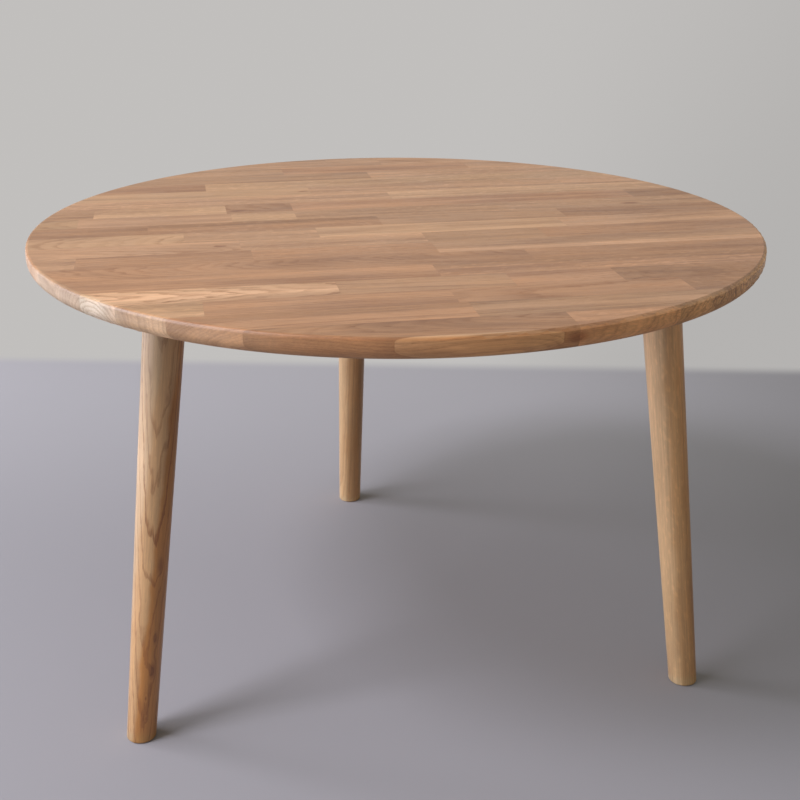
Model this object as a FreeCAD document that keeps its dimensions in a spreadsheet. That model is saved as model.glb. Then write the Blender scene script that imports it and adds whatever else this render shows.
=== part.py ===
"""Round low table of edge-glued oak staves on three turned legs that fold flat under the top.

Each leg hangs in a pressed steel bracket. Its top is sawn to a tongue between the bracket's two ears,
turns there on a bolt, and is held open by a leaf spring that stands behind the heel. The brackets sit
skewed, so that the three legs fold past each other like a pinwheel instead of meeting in the middle.

Millimetres. The origin is on the floor at the table's centre, +Z is up, +X runs along the staves and
the rear leg stands on the +Y side. A bracket's own frame has its origin on the underside of the top,
above the hinge bolt, with +X pointing away from the fold and +Y along the bolt.
"""
import FreeCAD, Part
import os
import Sketcher

SIZES = {
    # table top
    "top_diameter": 600.0,
    "top_thickness": 16.0,
    "table_height": 390.0,
    "rim_top_rounding": 2.5,
    "rim_under_rounding": 8.0,
    # legs, set in from the rim where their axes pass the underside of the top and the floor
    "leg_inset": 79.0,
    "foot_inset": 25.6,
    "leg_root_radius": 16.2,
    "foot_radius": 12.0,
    "foot_rounding": 1.5,
    "rear_leg_angle": 90.0,
    # hinge
    "fold_skew_angle": 33.4,
    "pivot_depth": 15.0,
    "pivot_offset": 3.8,
    "tongue_thickness": 20.0,
    "shoulder_drop": 10.8,
    "heel_clearance": 0.4,
    "running_clearance": 0.05,
    "side_clearance": 0.15,
    # bracket
    "sheet_thickness": 2.0,
    "plate_width": 48.0,
    "plate_inner_reach": 30.0,
    "plate_outer_reach": 60.0,
    "plate_corner_radius": 5.0,
    "waist_half_length": 12.0,
    "ear_half_width": 8.5,
    "bend_radius_share": 0.9,
    # hinge bolt, nut, washers and bush
    "bolt_radius": 3.0,
    "bolt_head_radius": 5.5,
    "bolt_head_height": 3.0,
    "bolt_crown_radius": 3.0,
    "bolt_socket_width": 4.0,
    "bolt_socket_depth": 1.8,
    "bolt_end_length": 0.8,
    "bolt_end_chamfer": 0.5,
    "nut_width": 10.0,
    "nut_height": 3.2,
    "nut_chamfer": 0.6,
    "washer_thickness": 0.8,
    "washer_radius": 6.5,
    "bush_wall": 1.0,
    # wood screws
    "screw_radius": 1.9,
    "screw_head_radius": 3.8,
    "screw_length": 14.0,
    "screw_tip_length": 3.0,
    "screw_edge_distance": 8.0,
    "screw_end_margin": 9.0,
    "outer_screw_share": 0.5,
    "recess_length": 4.2,
    "recess_width": 1.0,
    "recess_depth": 1.2,
    # catch spring and its rivets
    "spring_thickness": 0.9,
    "spring_width": 15.0,
    "spring_base_margin": 4.5,
    "spring_end_margin": 1.5,
    "spring_nose_gap": 0.4,
    "spring_nose_depth": 7.5,
    "rivet_radius": 1.5,
    "rivet_head_radius": 2.8,
    "rivet_head_height": 1.4,
    "rivet_end_margin": 5.5,
    "rivet_spacing": 8.0,
    # how far a cut runs past what it cuts
    "cut_overrun": 20.0,
}

STATIONS = ["rear", "front_left", "front_right"]
FULL_TURN = 360.0
SQUARE_CUT = 90.0

UNDERSIDE = "(Sizes.table_height - Sizes.top_thickness)"
LEG_CIRCLE = "(Sizes.top_diameter / 2 - Sizes.leg_inset)"
FOOT_CIRCLE = "(Sizes.top_diameter / 2 - Sizes.foot_inset)"
SPLAY_RUN = "(Sizes.leg_inset - Sizes.foot_inset)"
SPLAY_SLOPE = f"({SPLAY_RUN} / {UNDERSIDE})"
SKEW = "(Sizes.fold_skew_angle * 1 deg)"
AXIS_LENGTH = f"sqrt({SPLAY_RUN} ^ 2 + {UNDERSIDE} ^ 2)"
# the hinge bolt's place in a leg's own frame, whose +X points from the table's centre to the foot
PIVOT_X = (f"({LEG_CIRCLE} + Sizes.pivot_depth * {SPLAY_SLOPE}"
           f" - Sizes.pivot_offset * cos({SKEW}))")
PIVOT_Y = f"(0 - Sizes.pivot_offset * sin({SKEW}))"
PIVOT_Z = f"({UNDERSIDE} - Sizes.pivot_depth)"
# the leg's slope as it is seen along the bolt
SEEN_SLOPE = f"({SPLAY_SLOPE} * cos({SKEW}))"
SEEN_STRETCH = f"sqrt(1 + {SEEN_SLOPE} ^ 2)"
HALF_TONGUE = "(Sizes.tongue_thickness / 2)"
EAR_INSIDE = f"({HALF_TONGUE} + Sizes.washer_thickness + 2 * Sizes.side_clearance)"
EAR_OUTSIDE = f"({EAR_INSIDE} + Sizes.sheet_thickness)"
HEEL_HEIGHT = "(Sizes.pivot_depth - Sizes.sheet_thickness)"
HEEL_RADIUS = f"({HEEL_HEIGHT} - Sizes.heel_clearance)"
BUSH_RADIUS = "(Sizes.bolt_radius + Sizes.running_clearance + Sizes.bush_wall)"
SCREW_SIDE_PLACE = "(Sizes.plate_width / 2 - Sizes.screw_edge_distance)"
INNER_SCREW = "(Sizes.plate_inner_reach - Sizes.screw_end_margin)"
OUTER_SCREW = "(Sizes.plate_outer_reach * Sizes.outer_screw_share)"
FIRST_RIVET = "(Sizes.plate_outer_reach - Sizes.rivet_end_margin - Sizes.rivet_spacing)"
SPRING_TOP = "Sizes.sheet_thickness"
SPRING_FACE = "(Sizes.sheet_thickness + Sizes.spring_thickness)"
SPRING_BASE = f"({FIRST_RIVET} - Sizes.spring_base_margin)"
SPRING_END = "(Sizes.plate_outer_reach - Sizes.spring_end_margin)"

document = FreeCAD.newDocument("folding_table")
sheet = document.addObject("Spreadsheet::Sheet", "Sizes")


def fill_sheet():
    """Writes each driving dimension into its own cell and gives the cell its name."""
    for row, (name, value) in enumerate(SIZES.items(), start=1):
        sheet.set(f"A{row}", name)
        sheet.set(f"B{row}", str(value))
        sheet.setAlias(f"B{row}", name)
    document.recompute()


def number(expression):
    """What an expression on the sheet comes to, as a plain number."""
    found = sheet.evalExpression(expression)
    return float(getattr(found, "Value", found))


def new_body(label):
    """An empty body whose label names its file."""
    body = document.addObject("PartDesign::Body", label)
    body.Label = label
    body.AllowCompound = True
    return body


def origin_plane(body, role):
    """One of the body's own origin planes, by its role."""
    return next(o for o in body.Origin.OriginFeatures if o.Role == role)


def new_sketch(body, name, role, base=("0", "0", "0"), turn=None):
    """A sketch on an origin plane, shifted in the plane's own axes and turned about one of them."""
    sketch = body.newObject("Sketcher::SketchObject", name)
    sketch.AttachmentSupport = [(origin_plane(body, role), "")]
    sketch.MapMode = "FlatFace"
    if turn:
        sketch.AttachmentOffset = FreeCAD.Placement(
            FreeCAD.Vector(), FreeCAD.Rotation(FreeCAD.Vector(*turn[0]), number(turn[1])))
        sketch.setExpression("AttachmentOffset.Rotation.Angle", turn[1])
    for letter, expression in zip("xyz", base):
        if expression != "0":
            sketch.setExpression(f"AttachmentOffset.Base.{letter}", expression)
    return sketch


def bind(sketch, constraint, expression):
    """Adds a constraint whose value follows the sheet."""
    index = sketch.addConstraint(constraint)
    sketch.setExpression(f"Constraints[{index}]", expression)


def fix_point(sketch, geometry, position, x, y):
    """Ties a point's two coordinates to expressions, or to the axis where one of them is zero."""
    for kind, expression, axis in (("DistanceX", x, -2), ("DistanceY", y, -1)):
        if expression == "0":
            sketch.addConstraint(Sketcher.Constraint("PointOnObject", geometry, position, axis))
        else:
            bind(sketch, Sketcher.Constraint(kind, -1, 1, geometry, position, number(expression)),
                 expression)


def outline(sketch, corners, arcs=None):
    """Draws a closed outline. The side after a corner is straight, or an arc about a given centre."""
    arcs = arcs or {}
    places = [FreeCAD.Vector(number(x), number(y), 0) for x, y in corners]
    sides = []
    for i, (start, end) in enumerate(zip(places, places[1:] + places[:1])):
        if i not in arcs:
            index = sketch.addGeometry(Part.LineSegment(start, end), False)
            sides.append((index, 1, 2))
            continue
        centre_x, centre_y, clockwise = arcs[i]
        centre = FreeCAD.Vector(number(centre_x), number(centre_y), 0)
        first, last = (end, start) if clockwise else (start, end)
        radius = (start - centre).Length
        circle = Part.Circle(centre, FreeCAD.Vector(0, 0, 1), radius)
        index = sketch.addGeometry(
            Part.ArcOfCircle(circle, circle.parameter(first), circle.parameter(last)), False)
        sides.append((index, 2, 1) if clockwise else (index, 1, 2))
        chord = end - start
        kind, expression = (("DistanceX", centre_x) if abs(chord.y) > abs(chord.x)
                            else ("DistanceY", centre_y))
        if expression == "0":
            axis = -2 if kind == "DistanceX" else -1
            sketch.addConstraint(Sketcher.Constraint("PointOnObject", index, 3, axis))
        else:
            bind(sketch, Sketcher.Constraint(kind, -1, 1, index, 3, number(expression)), expression)
    for (before, _, ending), (after, beginning, _) in zip(sides[-1:] + sides[:-1], sides):
        sketch.addConstraint(Sketcher.Constraint("Coincident", before, ending, after, beginning))
    for (index, beginning, _), (x, y) in zip(sides, corners):
        fix_point(sketch, index, beginning, x, y)
    return sketch


def rectangle(sketch, left, right, low, high):
    """A rectangle between four expressions."""
    return outline(sketch, [(left, low), (right, low), (right, high), (left, high)])


def circle(sketch, x, y, radius):
    """A circle whose centre and radius follow the sheet."""
    index = sketch.addGeometry(Part.Circle(
        FreeCAD.Vector(number(x), number(y), 0), FreeCAD.Vector(0, 0, 1), number(radius)), False)
    fix_point(sketch, index, 3, x, y)
    bind(sketch, Sketcher.Constraint("Radius", index, number(radius)), radius)
    return sketch


def hexagon(sketch, width):
    """A hexagon about the sketch's origin, with two flats level, by its width across the flats."""
    half = f"({width} / 2)"
    corner = f"({width} / 2 / cos(30 deg))"
    side = f"({width} / 2 * tan(30 deg))"
    return outline(sketch, [(corner, "0"), (side, half), (f"0 - {side}", half),
                            (f"0 - {corner}", "0"), (f"0 - {side}", f"0 - {half}"),
                            (side, f"0 - {half}")])


def revolve(body, sketch, axis="V_Axis"):
    """Turns a profile once round one of its sketch's axes."""
    feature = body.newObject("PartDesign::Revolution", sketch.Name + "_turned")
    feature.Profile = sketch
    feature.ReferenceAxis = (sketch, [axis])
    feature.Angle = FULL_TURN
    return feature


def pad(body, sketch, length, midplane=False, reversed_=False):
    """Thickens a profile by a length that follows the sheet."""
    feature = body.newObject("PartDesign::Pad", sketch.Name + "_pad")
    feature.Profile = sketch
    feature.setExpression("Length", length)
    feature.Midplane = midplane
    feature.Reversed = reversed_
    return feature


def pocket(body, sketch, length=None, midplane=False, reversed_=False):
    """Cuts a profile to a depth, or through all where no depth is given, and checks that it cut."""
    document.recompute()
    before = body.Shape.Volume
    feature = body.newObject("PartDesign::Pocket", sketch.Name + "_cut")
    feature.Profile = sketch
    feature.Midplane = midplane
    feature.Reversed = reversed_
    if length:
        feature.setExpression("Length", length)
    else:
        feature.Type = "ThroughAll"
    document.recompute()
    if not body.Shape.Volume < before:
        raise RuntimeError(f"{feature.Name} in {body.Label} cuts nothing")
    return feature


def dress(body, kind, size_name, size, edges):
    """A fillet or chamfer on the edges of the body that a test picks out."""
    document.recompute()
    base = body.Tip
    names = [f"Edge{i}" for i, edge in enumerate(base.Shape.Edges, start=1) if edges(edge)]
    if not names:
        raise RuntimeError(f"no edge to dress in {body.Label}")
    feature = body.newObject(f"PartDesign::{kind}", f"{base.Name}_{kind.lower()}")
    feature.Base = (base, names)
    feature.setExpression(size_name, size)
    document.recompute()
    return feature


def pattern(body, originals, direction, length, count=2):
    """Repeats features in a row and makes the row the body's tip."""
    feature = body.newObject("PartDesign::LinearPattern", f"{originals[0].Name}_row")
    feature.Originals = originals
    feature.Direction = direction
    feature.setExpression("Length", length)
    feature.Occurrences = count
    body.Tip = feature
    document.recompute()
    return feature


def mirror(body, originals):
    """Repeats features on the other side of the body's XZ plane."""
    feature = body.newObject("PartDesign::Mirrored", f"{originals[0].Name}_mirrored")
    feature.Originals = originals
    feature.MirrorPlane = (origin_plane(body, "XZ_Plane"), [""])
    body.Tip = feature
    document.recompute()
    return feature


def leg_angle(station):
    """The direction of a leg from the table's centre, as an expression in degrees."""
    return f"(Sizes.rear_leg_angle + {STATIONS.index(station)} * {FULL_TURN / len(STATIONS)}) * 1 deg"


def stand_leg(body, station):
    """Turns a body that was drawn in the leg's own frame to its station."""
    body.Placement = FreeCAD.Placement(
        FreeCAD.Vector(), FreeCAD.Rotation(FreeCAD.Vector(0, 0, 1), number(leg_angle(station))))
    body.setExpression("Placement.Rotation.Angle", leg_angle(station))


def hang_bracket(body, station):
    """Places a body that was drawn in the bracket's frame over its hinge bolt, with the skew."""
    angle = leg_angle(station)
    turned = f"{angle} + {SKEW}"
    body.Placement = FreeCAD.Placement(
        FreeCAD.Vector(), FreeCAD.Rotation(FreeCAD.Vector(0, 0, 1), number(turned)))
    body.setExpression("Placement.Base.x", f"{PIVOT_X} * cos({angle}) - {PIVOT_Y} * sin({angle})")
    body.setExpression("Placement.Base.y", f"{PIVOT_X} * sin({angle}) + {PIVOT_Y} * cos({angle})")
    body.setExpression("Placement.Base.z", UNDERSIDE)
    body.setExpression("Placement.Rotation.Angle", turned)


def table_top():
    """The glued round panel: a rim eased above and rounded below, and the bracket screws' pilot holes."""
    body = new_body("table_top")
    profile = new_sketch(body, "top_profile", "XZ_Plane")
    rim = "Sizes.top_diameter / 2"
    under = (f"{rim} - Sizes.rim_under_rounding", f"{UNDERSIDE} + Sizes.rim_under_rounding")
    above = (f"{rim} - Sizes.rim_top_rounding", "Sizes.table_height - Sizes.rim_top_rounding")
    outline(profile, [("0", UNDERSIDE), (under[0], UNDERSIDE), (rim, under[1]),
                      (rim, above[1]), (above[0], "Sizes.table_height"), ("0", "Sizes.table_height")],
            arcs={1: (*under, False), 3: (*above, False)})
    revolve(body, profile)
    angle = leg_angle(STATIONS[0])
    holes = new_sketch(
        body, "pilot_holes", "XY_Plane", turn=((0, 0, 1), f"{angle} + {SKEW}"),
        base=(f"{PIVOT_X} * cos({angle}) - {PIVOT_Y} * sin({angle})",
              f"{PIVOT_X} * sin({angle}) + {PIVOT_Y} * cos({angle})", UNDERSIDE))
    for x in (f"0 - {INNER_SCREW}", OUTER_SCREW):
        for y in (f"0 - {SCREW_SIDE_PLACE}", SCREW_SIDE_PLACE):
            circle(holes, x, y, "Sizes.screw_radius + Sizes.running_clearance")
    cut = pocket(body, holes, "Sizes.screw_length - Sizes.sheet_thickness", reversed_=True)
    ring = body.newObject("PartDesign::PolarPattern", "pilot_holes_round")
    ring.Originals = [cut]
    ring.Axis = (next(o for o in body.Origin.OriginFeatures if o.Role == "Z_Axis"), [""])
    ring.Angle = FULL_TURN
    ring.Occurrences = len(STATIONS)
    body.Tip = ring
    return body


def leg(station):
    """A turned, tapered leg, sawn level at both ends, with a tongue and a rounded heel at its top."""
    body = new_body(f"leg_{station}")
    over = "Sizes.cut_overrun"
    taper = f"((Sizes.leg_root_radius - Sizes.foot_radius) / {AXIS_LENGTH})"
    turned = new_sketch(body, f"leg_profile_{station}", "XZ_Plane",
                        base=(FOOT_CIRCLE, "0", "0"),
                        turn=((0, 0, 1), f"atan({SPLAY_SLOPE})"))
    outline(turned, [("0", f"0 - {over}"),
                     (f"Sizes.foot_radius - {over} * {taper}", f"0 - {over}"),
                     (f"Sizes.leg_root_radius + {over} * {taper}", f"{AXIS_LENGTH} + {over}"),
                     ("0", f"{AXIS_LENGTH} + {over}")])
    revolve(body, turned)
    reach = "2 * Sizes.leg_root_radius"
    floor = new_sketch(body, f"foot_saw_{station}", "XY_Plane",
                       base=(FOOT_CIRCLE, "0", "0"))
    pocket(body, rectangle(floor, f"0 - {reach}", reach, f"0 - {reach}", reach))
    dress(body, "Fillet", "Radius", "Sizes.foot_rounding",
          lambda edge: abs(edge.BoundBox.ZMax) < number("Sizes.running_clearance"))
    seat = new_sketch(body, f"head_saw_{station}", "XY_Plane",
                      base=(LEG_CIRCLE, "0", f"{UNDERSIDE} - Sizes.sheet_thickness"))
    pocket(body, rectangle(seat, f"0 - {reach}", reach, f"0 - {reach}", reach), reversed_=True)
    for side, sign in (("near", "-1"), ("far", "1")):
        cheek = new_sketch(body, f"cheek_{side}_{station}", "XZ_Plane", turn=((0, 1, 0), SKEW),
                           base=(f"{PIVOT_X} + {sign} * {HALF_TONGUE} * sin({SKEW})", PIVOT_Z,
                                 f"0 - {PIVOT_Y} + {sign} * {HALF_TONGUE} * cos({SKEW})"))
        drop = f"Sizes.shoulder_drop * {SEEN_STRETCH}"
        outline(cheek, [(f"0 - {reach}", f"0 - {reach} * {SEEN_SLOPE} - {drop}"),
                        (reach, f"{reach} * {SEEN_SLOPE} - {drop}"),
                        (reach, over), (f"0 - {reach}", over)])
        pocket(body, cheek, reversed_=side == "far")
    heel = new_sketch(body, f"heel_round_{station}", "XZ_Plane", turn=((0, 1, 0), SKEW),
                      base=(PIVOT_X, PIVOT_Z, f"0 - {PIVOT_Y}"))
    outline(heel, [("0", HEEL_RADIUS), (f"0 - {HEEL_RADIUS}", "0"), (f"0 - {reach}", "0"),
                   (f"0 - {reach}", over), ("0", over)],
            arcs={0: ("0", "0", False)})
    pocket(body, heel, midplane=True)
    bore = new_sketch(body, f"bush_bore_{station}", "XZ_Plane", turn=((0, 1, 0), SKEW),
                      base=(PIVOT_X, PIVOT_Z, f"0 - {PIVOT_Y}"))
    pocket(body, circle(bore, "0", "0", BUSH_RADIUS), midplane=True)
    stand_leg(body, station)
    return body


def ring_on_bolt(body, name, inner, outer, near, thickness):
    """A flat ring round the hinge bolt, between two planes square to it."""
    sketch = new_sketch(body, name, "XZ_Plane",
                        base=("0", "0 - Sizes.pivot_depth", f"0 - ({near})"))
    circle(sketch, "0", "0", outer)
    circle(sketch, "0", "0", inner)
    return pad(body, sketch, thickness, reversed_=True)


def bush(station):
    """The steel tube pressed through the tongue, as long as the tongue is thick."""
    body = new_body(f"hinge_bush_{station}")
    ring_on_bolt(body, f"bush_{station}", "Sizes.bolt_radius + Sizes.running_clearance",
                 BUSH_RADIUS, f"0 - {HALF_TONGUE}", "Sizes.tongue_thickness")
    hang_bracket(body, station)
    return body


def washers(station):
    """The two nylon washers between the tongue and the ears."""
    body = new_body(f"hinge_washers_{station}")
    ring = ring_on_bolt(body, f"washer_{station}", "Sizes.bolt_radius + Sizes.running_clearance",
                        "Sizes.washer_radius", f"{HALF_TONGUE} + Sizes.side_clearance",
                        "Sizes.washer_thickness")
    document.recompute()
    mirror(body, [ring])
    hang_bracket(body, station)
    return body


def bracket(station):
    """The pressed steel bracket: a waisted plate with four countersunk holes and two bent ears."""
    body = new_body(f"bracket_{station}")
    plate = new_sketch(body, f"plate_{station}", "XY_Plane")
    half = "Sizes.plate_width / 2"
    waist = "Sizes.waist_half_length"
    outline(plate, [("0 - Sizes.plate_inner_reach", f"0 - {half}"), (f"0 - {waist}", f"0 - {half}"),
                    (f"0 - {waist}", f"0 - {EAR_OUTSIDE}"), (waist, f"0 - {EAR_OUTSIDE}"),
                    (waist, f"0 - {half}"), ("Sizes.plate_outer_reach", f"0 - {half}"),
                    ("Sizes.plate_outer_reach", half), (waist, half), (waist, EAR_OUTSIDE),
                    (f"0 - {waist}", EAR_OUTSIDE), (f"0 - {waist}", half),
                    ("0 - Sizes.plate_inner_reach", half)])
    pad(body, plate, "Sizes.sheet_thickness", reversed_=True)
    ends = [number("0 - Sizes.plate_inner_reach"), number("Sizes.plate_outer_reach")]
    slack = number("Sizes.running_clearance")

    def is_plate_corner(edge):
        """True for the four upright edges at the plate's outer corners."""
        box = edge.BoundBox
        return box.XLength < slack and box.YLength < slack and any(abs(box.XMin - x) < slack for x in ends)

    dress(body, "Fillet", "Radius", "Sizes.plate_corner_radius", is_plate_corner)
    ear = new_sketch(body, f"ear_{station}", "XZ_Plane", base=("0", "0", f"0 - {EAR_OUTSIDE}"))
    wide = "Sizes.ear_half_width"
    outline(ear, [(f"0 - {wide}", "0"), (f"0 - {wide}", "0 - Sizes.pivot_depth"),
                  (wide, "0 - Sizes.pivot_depth"), (wide, "0")],
            arcs={1: ("0", "0 - Sizes.pivot_depth", False)})
    one_ear = pad(body, ear, "Sizes.sheet_thickness")
    document.recompute()
    mirror(body, [one_ear])
    bend_line = number(EAR_OUTSIDE)

    def is_bend(edge):
        """True for the two long top edges over the ears, where the sheet is bent."""
        box = edge.BoundBox
        return (box.ZLength < slack and abs(box.ZMax) < slack and box.YLength < slack
                and abs(abs(box.YMin) - bend_line) < slack)

    dress(body, "Fillet", "Radius", "Sizes.sheet_thickness * Sizes.bend_radius_share", is_bend)
    bore = new_sketch(body, f"ear_bore_{station}", "XZ_Plane", base=("0", "0 - Sizes.pivot_depth", "0"))
    pocket(body, circle(bore, "0", "0", "Sizes.bolt_radius + Sizes.running_clearance"), midplane=True)
    rivets = new_sketch(body, f"rivet_holes_{station}", "XY_Plane")
    for x in (FIRST_RIVET, f"{FIRST_RIVET} + Sizes.rivet_spacing"):
        circle(rivets, x, "0", "Sizes.rivet_radius + Sizes.running_clearance")
    pocket(body, rivets)
    screws = new_sketch(body, f"screw_holes_{station}", "XY_Plane",
                        base=("0", "0", "0 - Sizes.sheet_thickness"))
    for x in (f"0 - {INNER_SCREW}", OUTER_SCREW):
        for y in (f"0 - {SCREW_SIDE_PLACE}", SCREW_SIDE_PLACE):
            circle(screws, x, y, "Sizes.screw_radius + Sizes.running_clearance")
    document.recompute()
    before = body.Shape.Volume
    hole = body.newObject("PartDesign::Hole", f"countersinks_{station}")
    hole.Profile = screws
    document.recompute()
    hole.Reversed = True
    hole.DepthType = "ThroughAll"
    hole.setExpression("Diameter", "2 * (Sizes.screw_radius + Sizes.running_clearance)")
    hole.HoleCutType = "Countersink"
    hole.HoleCutCustomValues = True
    hole.setExpression("HoleCutDiameter", "2 * (Sizes.screw_head_radius + Sizes.running_clearance)")
    hole.HoleCutCountersinkAngle = SQUARE_CUT
    document.recompute()
    if not body.Shape.Volume < before:
        raise RuntimeError("the countersunk holes cut nothing")
    hang_bracket(body, station)
    return body


def hinge_bolt(station):
    """The hinge bolt: a domed head with a hexagon socket, and a shank through both ears and the nut."""
    body = new_body(f"hinge_bolt_{station}")
    profile = new_sketch(body, f"bolt_{station}", "YZ_Plane", base=("0", "0 - Sizes.pivot_depth", "0"))
    tail = f"({EAR_OUTSIDE} + Sizes.nut_height + Sizes.bolt_end_length)"
    head_top = f"(0 - {EAR_OUTSIDE} - Sizes.bolt_head_height)"
    # how far inside the head's rim the dome's arc has its centre, on the bolt's axis
    inset = ("((Sizes.bolt_head_radius ^ 2 - Sizes.bolt_crown_radius ^ 2 - Sizes.bolt_head_height ^ 2)"
             " / (2 * Sizes.bolt_head_height))")
    outline(profile, [(head_top, "0"), (head_top, "Sizes.bolt_crown_radius"),
                      (f"0 - {EAR_OUTSIDE}", "Sizes.bolt_head_radius"),
                      (f"0 - {EAR_OUTSIDE}", "Sizes.bolt_radius"),
                      (f"{tail} - Sizes.bolt_end_chamfer", "Sizes.bolt_radius"),
                      (tail, "Sizes.bolt_radius - Sizes.bolt_end_chamfer"), (tail, "0")],
            arcs={1: (f"{inset} - {EAR_OUTSIDE}", "0", True)})
    revolve(body, profile, "H_Axis")
    socket = new_sketch(body, f"socket_{station}", "XZ_Plane",
                        base=("0", "0 - Sizes.pivot_depth", f"0 - {head_top}"))
    pocket(body, hexagon(socket, "Sizes.bolt_socket_width"), "Sizes.bolt_socket_depth")
    hang_bracket(body, station)
    return body


def hinge_nut(station):
    """The thin hexagon nut on the bolt's end, with its corners turned off on the outer side."""
    body = new_body(f"hinge_nut_{station}")
    sketch = new_sketch(body, f"nut_{station}", "XZ_Plane",
                        base=("0", "0 - Sizes.pivot_depth", f"0 - {EAR_OUTSIDE}"))
    hexagon(sketch, "Sizes.nut_width")
    circle(sketch, "0", "0", "Sizes.bolt_radius + Sizes.running_clearance")
    pad(body, sketch, "Sizes.nut_height", reversed_=True)
    corner = "(Sizes.nut_width / 2 / cos(30 deg))"
    outer_face = f"({EAR_OUTSIDE} + Sizes.nut_height)"
    chamfer = new_sketch(body, f"nut_chamfer_{station}", "YZ_Plane",
                         base=("0", "0 - Sizes.pivot_depth", "0"))
    outline(chamfer, [(outer_face, "Sizes.nut_width / 2"), (outer_face, f"{corner} + Sizes.nut_chamfer"),
                      (f"{outer_face} - Sizes.nut_chamfer * 2", f"{corner} + Sizes.nut_chamfer")])
    document.recompute()
    groove = body.newObject("PartDesign::Groove", f"nut_corners_{station}")
    groove.Profile = chamfer
    groove.ReferenceAxis = (chamfer, ["H_Axis"])
    groove.Angle = FULL_TURN
    hang_bracket(body, station)
    return body


def plate_screws(station):
    """The four countersunk wood screws that hold the bracket to the top."""
    body = new_body(f"bracket_screws_{station}")
    sketch = new_sketch(body, f"screw_{station}", "XZ_Plane",
                        base=(f"0 - {INNER_SCREW}", "0", f"0 - {SCREW_SIDE_PLACE}"))
    face = "0 - Sizes.sheet_thickness"
    tip = "(Sizes.screw_length - Sizes.sheet_thickness)"
    outline(sketch, [("0", face), ("Sizes.screw_head_radius", face),
                     ("Sizes.screw_radius", f"{face} + Sizes.screw_head_radius - Sizes.screw_radius"),
                     ("Sizes.screw_radius", f"{tip} - Sizes.screw_tip_length"), ("0", tip)])
    turned = revolve(body, sketch)
    cross = new_sketch(body, f"recess_{station}", "XY_Plane",
                       base=(f"0 - {INNER_SCREW}", SCREW_SIDE_PLACE, face))
    long, short = "Sizes.recess_length / 2", "Sizes.recess_width / 2"
    steps = [(long, short), (short, short), (short, long)]
    ways = [("", ""), ("0 - ", ""), ("0 - ", "0 - "), ("", "0 - ")]
    corners = []
    for i, (sign_x, sign_y) in enumerate(ways):
        turn = steps if i % 2 == 0 else steps[::-1]
        corners += [(f"{sign_x}{x}", f"{sign_y}{y}") for x, y in turn]
    recess = pocket(body, outline(cross, corners), "Sizes.recess_depth", reversed_=True)
    across = (next(o for o in body.Origin.OriginFeatures if o.Role == "Y_Axis"), [""])
    along = (next(o for o in body.Origin.OriginFeatures if o.Role == "X_Axis"), [""])
    many = body.newObject("PartDesign::MultiTransform", f"screws_{station}")
    rows = []
    for name, direction, length in (
            ("along", along, f"{INNER_SCREW} + {OUTER_SCREW}"),
            ("across", across, f"2 * {SCREW_SIDE_PLACE}")):
        row = document.addObject("PartDesign::LinearPattern", f"{name}_{station}")
        row.Direction = direction
        row.setExpression("Length", length)
        row.Occurrences = 2
        row.Reversed = name == "across"
        body.addObject(row)
        rows.append(row)
    many.Originals = [turned, recess]
    many.Transformations = rows
    body.Tip = many
    hang_bracket(body, station)
    return body


def catch_spring(station):
    """The leaf spring that stands behind the heel and keeps the leg open until it is pressed flat."""
    body = new_body(f"catch_spring_{station}")
    sketch = new_sketch(body, f"leaf_{station}", "XZ_Plane")
    thick = "Sizes.spring_thickness"
    # the heel's outer flank at the depth of the leaf's end, seen along the bolt
    flank = (f"(Sizes.pivot_offset + Sizes.leg_root_radius * {SEEN_STRETCH}"
             f" - (Sizes.pivot_depth - Sizes.spring_nose_depth) * {SEEN_SLOPE})")
    face = f"({flank} + Sizes.spring_nose_gap)"
    start = SPRING_BASE
    outline(sketch, [(SPRING_END, f"0 - {SPRING_TOP}"), (start, f"0 - {SPRING_TOP}"),
                     (face, f"{thick} - Sizes.spring_nose_depth"), (face, "0 - Sizes.spring_nose_depth"),
                     (start, f"0 - {SPRING_FACE}"), (SPRING_END, f"0 - {SPRING_FACE}")])
    pad(body, sketch, "Sizes.spring_width", midplane=True)
    holes = new_sketch(body, f"leaf_holes_{station}", "XY_Plane")
    for x in (FIRST_RIVET, f"{FIRST_RIVET} + Sizes.rivet_spacing"):
        circle(holes, x, "0", "Sizes.rivet_radius + Sizes.running_clearance")
    pocket(body, holes)
    hang_bracket(body, station)
    return body


def catch_rivets(station):
    """The two domed rivets that hold the leaf spring to the plate."""
    body = new_body(f"catch_rivets_{station}")
    sketch = new_sketch(body, f"rivet_{station}", "XZ_Plane", base=(FIRST_RIVET, "0", "0"))
    top = f"0 - {SPRING_FACE} - Sizes.rivet_head_height"
    # the centre of the dome's arc, which passes the head's rim and its crown
    rise = "(Sizes.rivet_head_radius ^ 2 / Sizes.rivet_head_height - Sizes.rivet_head_height) / 2"
    outline(sketch, [("0", top), ("Sizes.rivet_head_radius", f"0 - {SPRING_FACE}"),
                     ("Sizes.rivet_radius", f"0 - {SPRING_FACE}"), ("Sizes.rivet_radius", "0"),
                     ("0", "0")],
            arcs={0: ("0", f"0 - {SPRING_FACE} + {rise}", False)})
    turned = revolve(body, sketch)
    document.recompute()
    along = (next(o for o in body.Origin.OriginFeatures if o.Role == "X_Axis"), [""])
    pattern(body, [turned], along, "Sizes.rivet_spacing")
    hang_bracket(body, station)
    return body


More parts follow.
